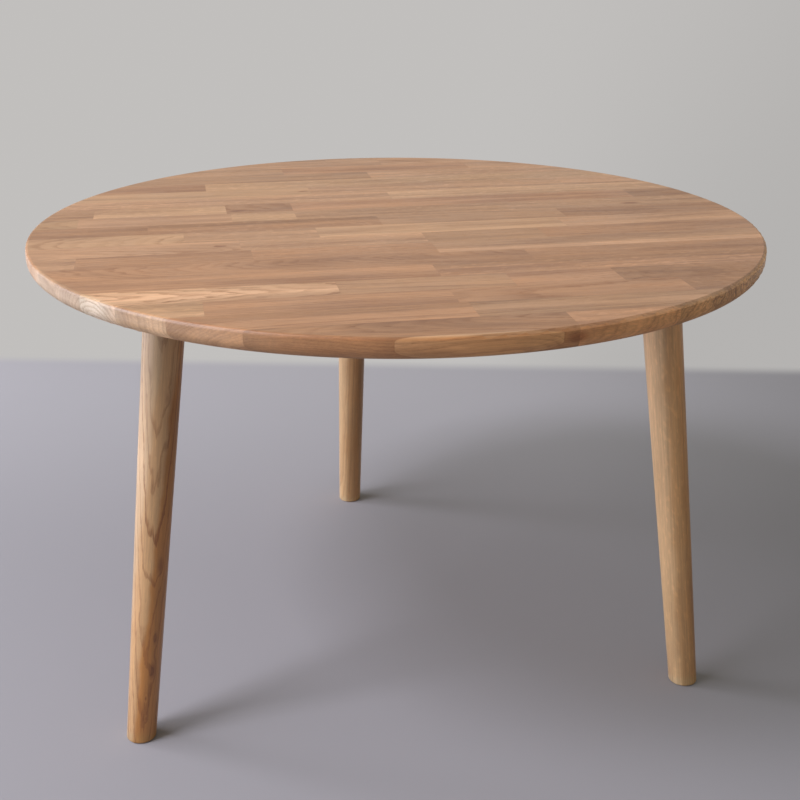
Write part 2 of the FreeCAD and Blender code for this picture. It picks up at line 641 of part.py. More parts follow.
def write_parts(bodies):
    """Stops if anything failed, then writes each body's shape to a file of its own."""
    document.recompute()
    failed = [o.Name for o in document.Objects if {"Invalid", "Error"} & set(o.State)]
    if failed:
        raise RuntimeError(f"these objects failed: {failed}")
    os.makedirs("parts", exist_ok=True)
    for body in bodies:
        shape = body.Shape
        if shape.isNull() or not shape.isValid() or not shape.Solids:
            raise RuntimeError(f"{body.Label} has no valid solid")
        shape.exportStep(f"parts/{body.Label}.step")
        print(f"{body.Label}: {len(shape.Solids)} solid(s), {shape.Volume:.1f} mm3")


fill_sheet()
made = [table_top()]
for place in STATIONS:
    made += [maker(place) for maker in (leg, bush, washers, bracket, hinge_bolt, hinge_nut,
                                        plate_screws, catch_spring, catch_rivets)]
write_parts(made)
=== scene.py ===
"""The looks of a round low oak table: its glued staves, turned legs, folding hinges and studio.

Lengths are in metres in the frame's own axes. The wood is laid out in millimetres, as its fields say.
"""

import logging
import math
from collections.abc import Mapping, Sequence
from dataclasses import dataclass, field, fields, replace
from enum import Enum

import bpy
from mathutils import Matrix, Vector


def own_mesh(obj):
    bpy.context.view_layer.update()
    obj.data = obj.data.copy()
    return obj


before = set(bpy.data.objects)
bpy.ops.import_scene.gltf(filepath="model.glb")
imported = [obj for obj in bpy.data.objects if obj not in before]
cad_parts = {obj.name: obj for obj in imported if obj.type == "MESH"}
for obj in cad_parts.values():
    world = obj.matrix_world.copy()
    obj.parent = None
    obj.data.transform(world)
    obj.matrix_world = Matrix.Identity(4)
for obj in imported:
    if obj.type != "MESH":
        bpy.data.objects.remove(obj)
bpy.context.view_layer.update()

LOG = logging.getLogger("low_table")
TO_MILLIMETRES = 1000.0
TO_METRES = 0.001
STATIONS = {"rear": 90.0, "front_left": 210.0, "front_right": 330.0}

Socket = bpy.types.NodeSocket
Colour = tuple[float, float, float]
Point = tuple[float, float, float]
Span = tuple[float, float]
Slope = tuple[float, float, float, float]
Feed = float | Sequence[float] | Socket
Feeds = Mapping[str | int, Feed]


class Tone(Enum):
    """How light a stave is beside its neighbours."""

    SAPWOOD = 1.33
    BLEACHED = 1.21
    PALE = 1.13
    LIGHT = 1.07
    EVEN = 1.01
    MELLOW = 0.96
    DEEP = 0.91
    DARK = 0.85
    SMOKED = 0.78


class Cut(Enum):
    """How a stave was sawn from the log: the angle of its rings to the face, as a share of a right angle."""

    QUARTER = 0.04
    RIFT = 0.45
    FLAT = 0.85
    HEART = 0.93
    CROWN = 1.0


class Hue(Enum):
    """Which way a stave's colour leans."""

    STRAW = 0.0
    PLAIN = 0.5
    RUSSET = 1.0


class Band(Enum):
    """A band along a stave: its middle as a share of the width from the back, and its lightness."""

    NONE = (0.5, 0.5)
    SAP_FRONT = (0.86, 0.95)
    SAP_MIDDLE = (0.5, 0.9)
    DARK_BACK = (0.14, 0.1)


@dataclass(frozen=True)
class Waves:
    """The waves of a cloudy noise.

    Args:
        count: how many there are in a millimetre along each axis, or in a metre for the floor.
        detail: how many finer layers they have.
        rough: how strong the finer layers are.
        gate: the part of the noise over which what it makes fades in.
    """

    count: Point
    detail: float = 2.0
    rough: float = 0.5
    gate: Span = (0.25, 0.75)


class Cloud(Enum):
    """The noises that vary the finishes."""

    SWAY = Waves((0.006, 0.035, 0.035))
    RIPPLE = Waves((0.035, 0.16, 0.16), 3.0, 0.55)
    TEARS = Waves((0.20, 0.30, 0.42), 4.0, 0.6, (0.54, 0.60))
    YEARS = Waves((0.45, 1.0, 1.0), 1.0)
    WIDE_PORES = Waves((0.11, 2.4, 2.4), 1.0, gate=(0.50, 0.66))
    FINE_PORES = Waves((0.17, 6.0, 6.0), 1.0, gate=(0.62, 0.76))
    RAYS = Waves((1.5, 0.12, 0.20), 1.5, gate=(0.52, 0.68))
    DECADES = Waves((0.30, 0.003, 1.0))
    BROAD = Waves((0.007, 0.06, 0.06), 4.0, 0.6)
    FIBRE = Waves((0.02, 0.9, 0.9), 3.0, 0.6)
    WIPES = Waves((0.012, 0.02, 0.02), 4.0, 0.6, (0.3, 0.7))
    BAND_DRIFT = Waves((0.007, 0.0, 0.0))
    RUBBED_PATCHES = Waves((0.03, 0.03, 0.03), 3.0, gate=(0.35, 0.6))
    DARK_EDGE = Waves((0.020, 0.0, 0.0), 4.0)
    PLATING = Waves((0.12, 0.12, 0.12), 4.0, 0.6, (0.3, 0.7))
    BRUSHING = Waves((0.25, 7.0, 3.0))
    MILK = Waves((0.5, 0.5, 0.5), 3.0, gate=(0.3, 0.7))
    MOTTLE = Waves((3.0, 3.0, 3.0), 5.0, 0.6, (0.3, 0.7))


@dataclass(frozen=True)
class Stave:
    """One oak stave in a row of the top.

    Args:
        start: where it starts, in millimetres along the grain from the middle of the top.
        tone: how light it is.
        cut: how it was sawn.
        hue: which way its colour leans.
        band: the sapwood or heartwood band along it.
    """

    start: float
    tone: Tone = Tone.EVEN
    cut: Cut = Cut.RIFT
    hue: Hue = Hue.PLAIN
    band: Band = Band.NONE


@dataclass(frozen=True)
class Knot:
    """A pin knot.

    Args:
        place: its middle in the piece's own axes, in millimetres, the grain first.
        size: how far it reaches across the grain, in millimetres.
    """

    place: Point
    size: float


class Bench:
    """A bench for laying out nodes: short calls for the ones that the finishes use."""

    def __init__(self, tree: bpy.types.NodeTree) -> None:
        """Clears the tree and keeps it."""
        tree.nodes.clear()
        self.tree = tree

    def node(self, kind: str, feeds: Feeds | None = None, **settings: object) -> bpy.types.Node:
        """Adds a node.

        Args:
            kind: the node's type, without its ShaderNode prefix.
            feeds: what goes into its inputs, by name or place.
            settings: its own properties.

        Returns:
            The node.
        """
        made = self.tree.nodes.new(f"ShaderNode{kind}")
        for name, setting in settings.items():
            setattr(made, name, setting)
        for place, feed in (feeds or {}).items():
            self.feed(made.inputs[place], feed)
        return made

    def feed(self, socket: Socket, value: Feed) -> None:
        """Links a socket to another, or sets its value.

        Args:
            socket: the input.
            value: an output socket, a number or several numbers.
        """
        if isinstance(value, Socket):
            self.tree.links.new(value, socket)
        elif isinstance(value, Sequence) and len(value) == 3 and socket.type == "RGBA":
            socket.default_value = (*value, 1.0)
        else:
            socket.default_value = value

    def math(self, operation: str, *values: Feed) -> Socket:
        """Works out a number from others, by a Math node's operation."""
        return self.node("Math", dict(enumerate(values)), operation=operation).outputs[0]

    def times(self, first: Feed, *others: Feed) -> Feed:
        """Multiplies numbers together, from left to right."""
        for value in others:
            first = self.math("MULTIPLY", first, value)
        return first

    def vector(self, operation: str, *values: Feed) -> Socket:
        """Works out a vector from others, by a Vector Math node's operation."""
        return self.node("VectorMath", dict(enumerate(values)), operation=operation).outputs[0]

    def measure(self, operation: str, *values: Feed) -> Socket:
        """Works out a number from vectors, such as a length or a dot product."""
        return self.node("VectorMath", dict(enumerate(values)), operation=operation).outputs["Value"]

    def scale(self, vector: Feed, factor: Feed) -> Socket:
        """Makes a vector or colour longer or lighter by a factor."""
        return self.node("VectorMath", {0: vector, 3: factor}, operation="SCALE").outputs[0]

    def split(self, vector: Socket) -> tuple[Socket, ...]:
        """Gives a vector's three numbers."""
        return tuple(self.node("SeparateXYZ", {0: vector}).outputs)

    def join(self, x: Feed, y: Feed, z: Feed) -> Socket:
        """Puts three numbers into a vector."""
        return self.node("CombineXYZ", {0: x, 1: y, 2: z}).outputs[0]

    def clouds(self, place: Feed, cloud: Cloud) -> bpy.types.Node:
        """Lays a noise along a place.

        Args:
            place: where it is read.
            cloud: which noise it is.

        Returns:
            The noise node.
        """
        waves = cloud.value
        feeds = {"Vector": self.vector("MULTIPLY", place, waves.count), "Scale": 1.0}
        return self.node("TexNoise", feeds | {"Detail": waves.detail, "Roughness": waves.rough})

    def noise(self, place: Feed, cloud: Cloud) -> Socket:
        """Gives a noise at a place, from 0 to 1."""
        return self.clouds(place, cloud).outputs[0]

    def patches(self, place: Feed, cloud: Cloud, low: Feed = 0.0, high: Feed = 1.0) -> Socket:
        """Makes patches of a noise: the low value below its gate, and the high value above."""
        return self.fade(self.noise(place, cloud), *cloud.value.gate, low, high)

    def vary(self, place: Feed, cloud: Cloud, depth: float, middle: float = 1.0) -> Socket:
        """Makes a number that varies both ways from its middle by a depth, as a noise does."""
        return self.patches(place, cloud, middle - depth, middle + depth)

    def fade(self, value: Feed, low: Feed, high: Feed, to_low: Feed = 0.0, to_high: Feed = 1.0) -> Socket:
        """Carries a number smoothly from one range to another, and holds it at the ends.

        Args:
            value: the number.
            low: where its range starts.
            high: where its range ends.
            to_low: the result at the start.
            to_high: the result at the end.

        Returns:
            The result.
        """
        feeds = {"Value": value, "From Min": low, "From Max": high, "To Min": to_low, "To Max": to_high}
        return self.node("MapRange", feeds, interpolation_type="SMOOTHSTEP").outputs[0]

    def mix(self, share: Feed, first: Feed, second: Feed, blend: str = "MIX") -> Socket:
        """Mixes a share of the second colour into the first, in a way of blending them."""
        feeds = {0: share, 6: first, 7: second}
        return self.node("Mix", feeds, data_type="RGBA", blend_type=blend, clamp_factor=True).outputs[2]

    def tint(self, share: Feed, colour: Feed, by: Feed) -> Socket:
        """Multiplies a share of a colour by another."""
        return self.mix(share, colour, by, "MULTIPLY")

    def ramp(self, at: Feed, way: str, stops: Sequence[tuple[float, Sequence[float]]]) -> bpy.types.Node:
        """Lays colours in a ramp.

        Args:
            at: the place in it, from 0 to 1.
            way: how it goes from one stop to the next.
            stops: the place and the colour with alpha of each stop.

        Returns:
            The ramp.
        """
        made = self.node("ValToRGB", {0: at})
        made.color_ramp.interpolation = way
        elements = made.color_ramp.elements
        for number, (place, colour) in enumerate(stops):
            stop = elements[number] if number < 2 else elements.new(place)
            stop.position = place
            stop.color = colour
        return made

    def shade(self, height: Feed, feeds: Feeds) -> None:
        """Ends a material in its shader, with a surface height in millimetres and what else it is fed."""
        bump = self.node("Bump", {"Height": height, "Distance": TO_METRES, "Strength": 1.0})
        shader = self.node("BsdfPrincipled", {**feeds, "Normal": bump.outputs[0]})
        self.node("OutputMaterial", {"Surface": shader.outputs[0]})


@dataclass(frozen=True)
class Figure:
    """Where the heart of a piece's log lay, and how its rings show. In millimetres or shares.

    Args:
        heart_across: how far the heart of the log is to the side.
        heart_deep: how far the heart of the log is below.
        lean_across: how far the heart drifts sideways for each millimetre along.
        lean_deep: how far the heart drifts downwards for each millimetre along.
        spacing: the width of a year's ring.
        bold: how strongly the rings show.
        wild: how far the rings wander.
        shift: how far along the piece its arches are moved.
    """

    heart_across: Feed
    heart_deep: Feed
    lean_across: Feed
    lean_deep: Feed
    spacing: Feed = 2.4
    bold: Feed = 0.5
    wild: Feed = 1.8
    shift: Feed = 0.0


@dataclass(frozen=True)
class Billet:
    """A piece of oak as it lay in its log, for what its faces show. In millimetres or shares.

    Args:
        place: the place in the piece's own axes, the grain first.
        along: the place along the grain.
        across: the place across the face.
        deep: the place through the thickness.
        figure: where the heart of its log lay, and how its rings show.
        silk: how strongly the rays show.
        chance: three random shares that are this piece's own.
        tone: how light it is.
        hue: which way its colour leans, from straw to russet.
        cut_end: how much the face cuts across the grain.
        wear_and_painted_sheen: how much the face is worn pale and smooth, and on the top's left rim how much
            painted sheen it has.
        checked: how strongly the end grain is checked.
        knots: its pin knots.
    """

    place: Feed
    along: Feed
    across: Feed
    deep: Feed
    figure: Figure
    silk: Feed
    chance: Feed
    tone: Feed
    hue: Feed
    cut_end: Feed
    wear_and_painted_sheen: Feed
    checked: Feed = 0.0
    knots: tuple[Knot, ...] = ()


@dataclass(frozen=True)
class OiledOak:
    """White oak under a satin oil.

    Args:
        latewood: the colour of the dense part of a ring.
        earlywood: the colour of its open-pored part.
        straw: what a yellower piece is multiplied by.
        russet: what a redder piece is multiplied by.
        umber: what a dark streak is multiplied by.
        pore_colour: what the colour is multiplied by inside a pore.
        ray_colour: what the colour is multiplied by on a ray.
        knot_colour: what the colour is multiplied by in a knot.
        check_colour: what the colour is multiplied by in a check, a fine crack in the end grain.
        end_colour: what the colour is multiplied by on end grain, which drinks more oil.
        wear_and_painted_sheen_colour: what the colour is multiplied by on a worn edge and on the top's left
            rim, where its cool paleness is a painted sheen.
        painted_arris_shade_colour: what the colour is multiplied by on the upper arris of the top, where
            painted shade dims its highlight.
        light_depths: how far the lightness varies by decades, by broad streaks and by fibres.
        umber_slope: the lightness at which a streak has the most umber and none, and how much.
        tone_powers: how strongly a piece's tone also moves its green and its blue.
        spring_full: the shares of a ring between which its spring wood is fullest.
        spring_end: the share of a ring at which its spring wood has ended.
        faint_year: how strongly the faintest year shows beside the boldest.
        uneven_years: by how many years the rings wander in width.
        end_rings: how strongly the rings show on end grain.
        sway: how far the heart of the log sways, in millimetres.
        knot_push: how far a knot pushes the rings out, in millimetres.
        fine_pores: how open a fine pore is.
        pore_height: how high a pore stands, in millimetres.
        spring_height: how high the spring wood stands, in millimetres.
        sheen_rough: the roughness of the oiled face.
        wiped_rough: how far wiping varies that roughness.
        pore_rough: how much rougher an open pore is.
        ray_rough: how much rougher a ray is.
        rubbed_rough: how much rougher a worn edge is.
        gloss: how strongly the oil mirrors light, where a half is plain.
        film: how much of a film the oil has built up on the wood.
        film_rough: the roughness of that film.
    """

    latewood: Colour = (0.487, 0.262, 0.128)
    earlywood: Colour = (0.350, 0.170, 0.075)
    straw: Colour = (1.01, 1.05, 1.04)
    russet: Colour = (1.0, 0.94, 0.90)
    umber: Colour = (0.90, 0.84, 0.80)
    pore_colour: Colour = (0.52, 0.43, 0.36)
    ray_colour: Colour = (1.16, 1.15, 1.12)
    knot_colour: Colour = (0.60, 0.47, 0.39)
    check_colour: Colour = (0.42, 0.30, 0.24)
    end_colour: Colour = (0.90, 0.90, 0.90)
    wear_and_painted_sheen_colour: Colour = (0.94, 1.14, 1.32)
    painted_arris_shade_colour: Colour = (0.90, 0.81, 0.70)
    light_depths: tuple[float, float, float] = (0.12, 0.13, 0.11)
    umber_slope: Slope = (0.84, 1.0, 0.8, 0.0)
    tone_powers: Span = (0.08, 0.3)
    spring_full: Span = (0.09, 0.14)
    spring_end: float = 0.66
    faint_year: float = 0.45
    uneven_years: float = 1.6
    end_rings: float = 0.64
    sway: float = 8.0
    knot_push: float = 2.5
    fine_pores: float = 0.5
    pore_height: float = -0.05
    spring_height: float = -0.010
    sheen_rough: float = 0.42
    wiped_rough: float = 0.05
    pore_rough: float = 0.24
    ray_rough: float = -0.06
    rubbed_rough: float = 0.12
    gloss: float = 0.7
    film: float = 0.0
    film_rough: float = 0.34

    def finish(self, bench: Bench, colour: Feed, rough: Feed, height: Feed) -> None:
        """Oils the wood, with a roughness and a surface height in millimetres."""
        feeds = {"Base Color": colour, "Roughness": rough, "Specular IOR Level": self.gloss}
        bench.shade(height, feeds | {"Coat Weight": self.film, "Coat Roughness": self.film_rough})


# How far apart pieces lie in the noises, how rays turn and slant, and how knots are drawn out and fade.
OWN_NOISE = (900.0, 700.0, 500.0)
RAY_TURN = 60.0
RAY_SLANT = 0.8
KNOT_STRETCH = (0.4, 1.0, 1.0)
KNOT_RIM = 0.1


@dataclass
class Grain:
    """The grain of one piece of oak: growth rings, pores, rays, knots and fibre.

    Args:
        oak: the wood.
        bench: the material's nodes.
        wood: where the piece lay in its log.
    """

    oak: OiledOak
    bench: Bench
    wood: Billet

    def __post_init__(self) -> None:
        """Gives the piece a place of its own in the noises."""
        bench, wood = self.bench, self.wood
        self.own = bench.vector("MULTIPLY", wood.chance, OWN_NOISE)
        self.along = bench.math("SUBTRACT", wood.along, wood.figure.shift)
        self.here = bench.vector("ADD", bench.join(self.along, wood.across, wood.deep), self.own)

    def lay(self) -> tuple[Socket, Socket, Socket]:
        """Lays out the grain.

        Returns:
            The colour, the roughness and the height of the surface in millimetres.
        """
        bench, oak, wood, figure = self.bench, self.oak, self.wood, self.wood.figure
        knots = self.knots()
        sway = bench.split(bench.clouds(self.here, Cloud.SWAY).outputs["Color"])
        side = self.from_heart(wood.across, figure.heart_across, figure.lean_across, sway[0])
        below = self.from_heart(wood.deep, figure.heart_deep, figure.lean_deep, sway[1])
        radius = bench.measure("LENGTH", bench.join(side, below, 0.0))
        radius = bench.math("MULTIPLY_ADD", bench.noise(self.here, Cloud.RIPPLE), figure.wild, radius)
        radius = bench.math("MULTIPLY_ADD", knots, oak.knot_push, radius)
        years, spring = self.rings(radius)
        pores = self.pores(spring)
        rays = bench.times(self.rays(side, below, radius), wood.silk)
        shown = bench.times(spring, bench.fade(wood.cut_end, 0.0, 1.0, figure.bold, oak.end_rings))
        cracks = bench.math("MAXIMUM", spring, bench.patches(self.here, Cloud.TEARS))
        colour = self.stain(bench.mix(shown, oak.latewood, oak.earlywood), years)
        for share, tint in (
            (rays, oak.ray_colour),
            (bench.times(pores, figure.bold), oak.pore_colour),
            (bench.fade(knots, KNOT_RIM, 1.0), oak.knot_colour),
            (bench.times(cracks, wood.cut_end, wood.checked), oak.check_colour),
            (wood.cut_end, oak.end_colour),
            # Wear, and on the top's left rim a painted sheen, both pale and cool.
            (wood.wear_and_painted_sheen, oak.wear_and_painted_sheen_colour),
        ):
            colour = bench.tint(share, colour, tint)
        height = bench.math("MULTIPLY_ADD", spring, oak.spring_height, bench.times(pores, oak.pore_height))
        return colour, self.sheen(pores, rays), height

    def from_heart(self, place: Feed, heart: Feed, lean: Feed, sway: Feed) -> Socket:
        """Measures one way from the heart of the log, which leans and sways along the piece.

        Args:
            place: the place in the piece.
            heart: the place of the heart.
            lean: its drift along the piece.
            sway: a slow random wander.

        Returns:
            The distance.
        """
        apart = self.bench.math("SUBTRACT", place, heart)
        apart = self.bench.math("SUBTRACT", apart, self.bench.times(lean, self.along))
        return self.bench.math("MULTIPLY_ADD", sway, self.oak.sway, apart)

    def rings(self, radius: Feed) -> tuple[Socket, Feed]:
        """Grows a ring for each year, wide and narrow years by turns.

        Args:
            radius: the distance from the heart.

        Returns:
            The years from the heart, and how much this is open spring wood.
        """
        bench, oak = self.bench, self.oak
        years = bench.math("DIVIDE", radius, self.wood.figure.spacing)
        uneven = bench.noise(bench.join(years, 0.0, self.own), Cloud.YEARS)
        years = bench.math("MULTIPLY_ADD", uneven, oak.uneven_years, years)
        season = bench.math("FRACT", years)
        year = bench.node("TexWhiteNoise", {"W": bench.math("FLOOR", years)}, noise_dimensions="1D")
        full, fading = oak.spring_full
        spring = bench.times(bench.fade(season, 0.0, full),
                             bench.fade(season, fading, oak.spring_end, 1.0, 0.0),
                             bench.fade(year.outputs[0], 0.0, 1.0, oak.faint_year, 1.0))
        return years, spring

    def pores(self, spring: Feed) -> Socket:
        """Opens pores: long and close in the spring wood, fine and few in the rest."""
        wide = self.bench.times(self.bench.patches(self.here, Cloud.WIDE_PORES), spring)
        fine = self.bench.patches(self.here, Cloud.FINE_PORES, 0.0, self.oak.fine_pores)
        return self.bench.math("MAXIMUM", wide, fine)

    def rays(self, side: Feed, below: Feed, radius: Feed) -> Socket:
        """Lays the rays that run out from the heart: flecks on a quartered face, short ticks on a flat one.

        Args:
            side: the distance from the heart across.
            below: the distance from the heart down.
            radius: the distance from the heart.

        Returns:
            How much of a ray is here.
        """
        turn = self.bench.times(self.bench.math("ARCTAN2", below, side), RAY_TURN)
        slanted = self.bench.math("MULTIPLY_ADD", radius, RAY_SLANT, self.along)
        place = self.bench.vector("ADD", self.bench.join(turn, slanted, radius), self.own)
        return self.bench.patches(place, Cloud.RAYS)

    def knots(self) -> Feed:
        """Says how near the middle of a pin knot a place is, from 0 to 1."""
        near: Feed = 0.0
        for knot in self.wood.knots:
            apart = self.bench.vector("SUBTRACT", self.wood.place, knot.place)
            apart = self.bench.vector("MULTIPLY", apart, KNOT_STRETCH)
            here = self.bench.fade(self.bench.measure("LENGTH", apart), 0.0, knot.size, 1.0, 0.0)
            near = self.bench.math("MAXIMUM", near, here)
        return near

    def stain(self, colour: Feed, years: Feed) -> Socket:
        """Varies the colour by the piece, and within it in streaks that follow the years and the fibre.

        Args:
            colour: the colour of the rings.
            years: the years from the heart.

        Returns:
            The varied colour.
        """
        bench, oak, wood = self.bench, self.oak, self.wood
        decades, broad, fibre = oak.light_depths
        light = bench.times(bench.vary(bench.join(years, self.along, self.own), Cloud.DECADES, decades),
                            bench.vary(self.here, Cloud.BROAD, broad))
        umber = bench.fade(light, *oak.umber_slope)
        light = bench.times(light, bench.vary(self.here, Cloud.FIBRE, fibre), wood.tone)
        yellow = bench.fade(wood.hue, Hue.STRAW.value, Hue.PLAIN.value, 1.0, 0.0)
        red = bench.fade(wood.hue, Hue.PLAIN.value, Hue.RUSSET.value)
        for share, tint in ((yellow, oak.straw), (red, oak.russet), (umber, oak.umber)):
            colour = bench.tint(share, colour, tint)
        green, blue = (bench.times(light, bench.math("POWER", wood.tone, power)) for power in oak.tone_powers)
        return bench.vector("MULTIPLY", colour, bench.join(light, green, blue))

    def sheen(self, pores: Feed, rays: Feed) -> Socket:
        """Spreads the oil: dull in the pores and where it is worn off, brighter on the rays.

        Args:
            pores: how much of a pore is here.
            rays: how much of a ray is here.

        Returns:
            The roughness.
        """
        oak, wood = self.oak, self.wood
        wiped = self.bench.vary(wood.place, Cloud.WIPES, oak.wiped_rough, 0.0)
        rough = self.bench.math("ADD", wiped, oak.sheen_rough)
        for share, more in ((pores, oak.pore_rough), (rays, oak.ray_rough), (wood.wear_and_painted_sheen, oak.rubbed_rough)):
            rough = self.bench.math("MULTIPLY_ADD", share, more, rough)
        return rough


def new_finish(name: str) -> tuple[bpy.types.Material, Bench]:
    """Makes an empty material.

    Args:
        name: its name.

    Returns:
        The material and its bench.
    """
    made = bpy.data.materials.new(name)
    made.use_nodes = True
    return made, Bench(made.node_tree)


def dress(node: str, material: bpy.types.Material) -> None:
    """Gives a CAD node a material.

    Args:
        node: the node's name.
        material: what it gets.
    """
    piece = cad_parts[node]
    if not piece.material_slots:
        piece.data.materials.append(material)
    for place in piece.material_slots:
        place.material = material
    LOG.info("dressed %s in %s", node, material.name)


FIRST = -400.0
ROWS: tuple[tuple[Stave, ...], ...] = (
    (Stave(FIRST), Stave(-20, Tone.LIGHT, Cut.QUARTER)),
    (Stave(FIRST, Tone.LIGHT), Stave(35, Tone.PALE, Cut.FLAT)),
    (Stave(FIRST, Tone.DEEP, Cut.QUARTER), Stave(-70, Tone.EVEN, Cut.RIFT, Hue.RUSSET),
     Stave(120, Tone.LIGHT)),
    (Stave(FIRST, Tone.DEEP), Stave(13, Tone.LIGHT, Cut.QUARTER)),
    (Stave(FIRST, Tone.DEEP, Cut.RIFT, Hue.RUSSET), Stave(-150, Tone.LIGHT, Cut.QUARTER, Hue.STRAW)),
    (Stave(FIRST, Tone.LIGHT, Cut.RIFT, Hue.STRAW), Stave(-54, Tone.LIGHT, Cut.QUARTER),
     Stave(190, Tone.PALE)),
    (Stave(FIRST, Tone.LIGHT, Cut.QUARTER), Stave(16, Tone.BLEACHED, Cut.QUARTER, Hue.STRAW)),
    (Stave(FIRST, Tone.DEEP), Stave(-250, Tone.PALE, Cut.QUARTER, Hue.STRAW),
     Stave(-136, Tone.DARK, Cut.FLAT, Hue.RUSSET), Stave(-78, Tone.LIGHT, Cut.RIFT, Hue.RUSSET),
     Stave(235, Tone.SMOKED, Cut.RIFT, Hue.RUSSET)),
    (Stave(FIRST, Tone.DEEP, Cut.FLAT, Hue.STRAW), Stave(-262, Tone.PALE),
     Stave(-133, Tone.PALE, Cut.QUARTER, Hue.STRAW), Stave(-78, Tone.MELLOW, Cut.QUARTER)),
    (Stave(FIRST, Tone.SMOKED, Cut.RIFT, Hue.RUSSET),
     Stave(-204, Tone.DARK, Cut.QUARTER, Hue.RUSSET, Band.DARK_BACK), Stave(-10, Tone.MELLOW),
     Stave(150, Tone.DARK, Cut.RIFT, Hue.RUSSET)),
    (Stave(FIRST, Tone.PALE, Cut.FLAT, Hue.STRAW), Stave(-175, Tone.EVEN, Cut.QUARTER),
     Stave(-67, Tone.BLEACHED, Cut.RIFT, Hue.STRAW), Stave(140, Tone.PALE)),
    (Stave(FIRST, Tone.PALE, Cut.FLAT), Stave(-132, Tone.LIGHT, Cut.QUARTER), Stave(16, Tone.DEEP),
     Stave(113, Tone.DEEP, Cut.RIFT, Hue.RUSSET)),
    (Stave(FIRST, Tone.EVEN, Cut.QUARTER), Stave(-257, Tone.DEEP, Cut.RIFT, Hue.RUSSET),
     Stave(-125, Tone.MELLOW, Cut.QUARTER, Hue.RUSSET),
     Stave(17, Tone.EVEN, Cut.RIFT, Hue.PLAIN, Band.SAP_FRONT)),
    (Stave(FIRST, Tone.DEEP, Cut.FLAT, Hue.RUSSET), Stave(83, Tone.DEEP, Cut.RIFT, Hue.RUSSET)),
    (Stave(FIRST, Tone.MELLOW, Cut.RIFT, Hue.RUSSET),
     Stave(4, Tone.EVEN, Cut.QUARTER, Hue.RUSSET, Band.DARK_BACK)),
    (Stave(FIRST, Tone.SAPWOOD, Cut.CROWN, Hue.STRAW, Band.SAP_MIDDLE), Stave(-73),
     Stave(51, Tone.LIGHT, Cut.RIFT, Hue.RUSSET), Stave(130, Tone.SMOKED, Cut.FLAT, Hue.RUSSET)),
    (Stave(FIRST, Tone.MELLOW, Cut.QUARTER, Hue.STRAW, Band.SAP_FRONT),
     Stave(-167, Tone.MELLOW, Cut.RIFT, Hue.RUSSET), Stave(2, Tone.MELLOW, Cut.FLAT, Hue.RUSSET),
     Stave(169, Tone.SMOKED, Cut.QUARTER, Hue.RUSSET)),
    (Stave(FIRST, Tone.EVEN, Cut.RIFT, Hue.RUSSET, Band.DARK_BACK),
     Stave(8, Tone.DARK, Cut.RIFT, Hue.PLAIN, Band.SAP_MIDDLE)),
    (Stave(FIRST, Tone.LIGHT, Cut.QUARTER), Stave(-145, Tone.SMOKED, Cut.FLAT, Hue.RUSSET),
     Stave(65, Tone.EVEN, Cut.QUARTER, Hue.RUSSET)),
    (Stave(FIRST, Tone.MELLOW), Stave(-59, Tone.PALE, Cut.HEART, Hue.STRAW), Stave(55, Tone.DEEP)),
)
TOP_KNOTS = (
    Knot((-126.0, 70.0, 0.0), 6.0),
    Knot((222.0, 37.0, 0.0), 6.0),
    Knot((-148.0, -52.0, 0.0), 4.0),
    Knot((-60.0, 141.0, 0.0), 4.0),
    Knot((64.0, -293.0, -7.0), 7.0),
    Knot((36.0, -297.0, -15.0), 3.0),
)


HEART = Figure(-11.0, -14.0, 0.22, 0.0, spacing=3.4)
CROWN = Figure(2.0, -18.0, 0.02, -0.10, spacing=3.1, bold=1.0, wild=5.5, shift=-190.0)
HEART_CUT = (0.86, 0.92)
CROWN_CUT = (0.94, 0.99)
FIRST_SEED = 4.0
SECOND_SEED = 11.0


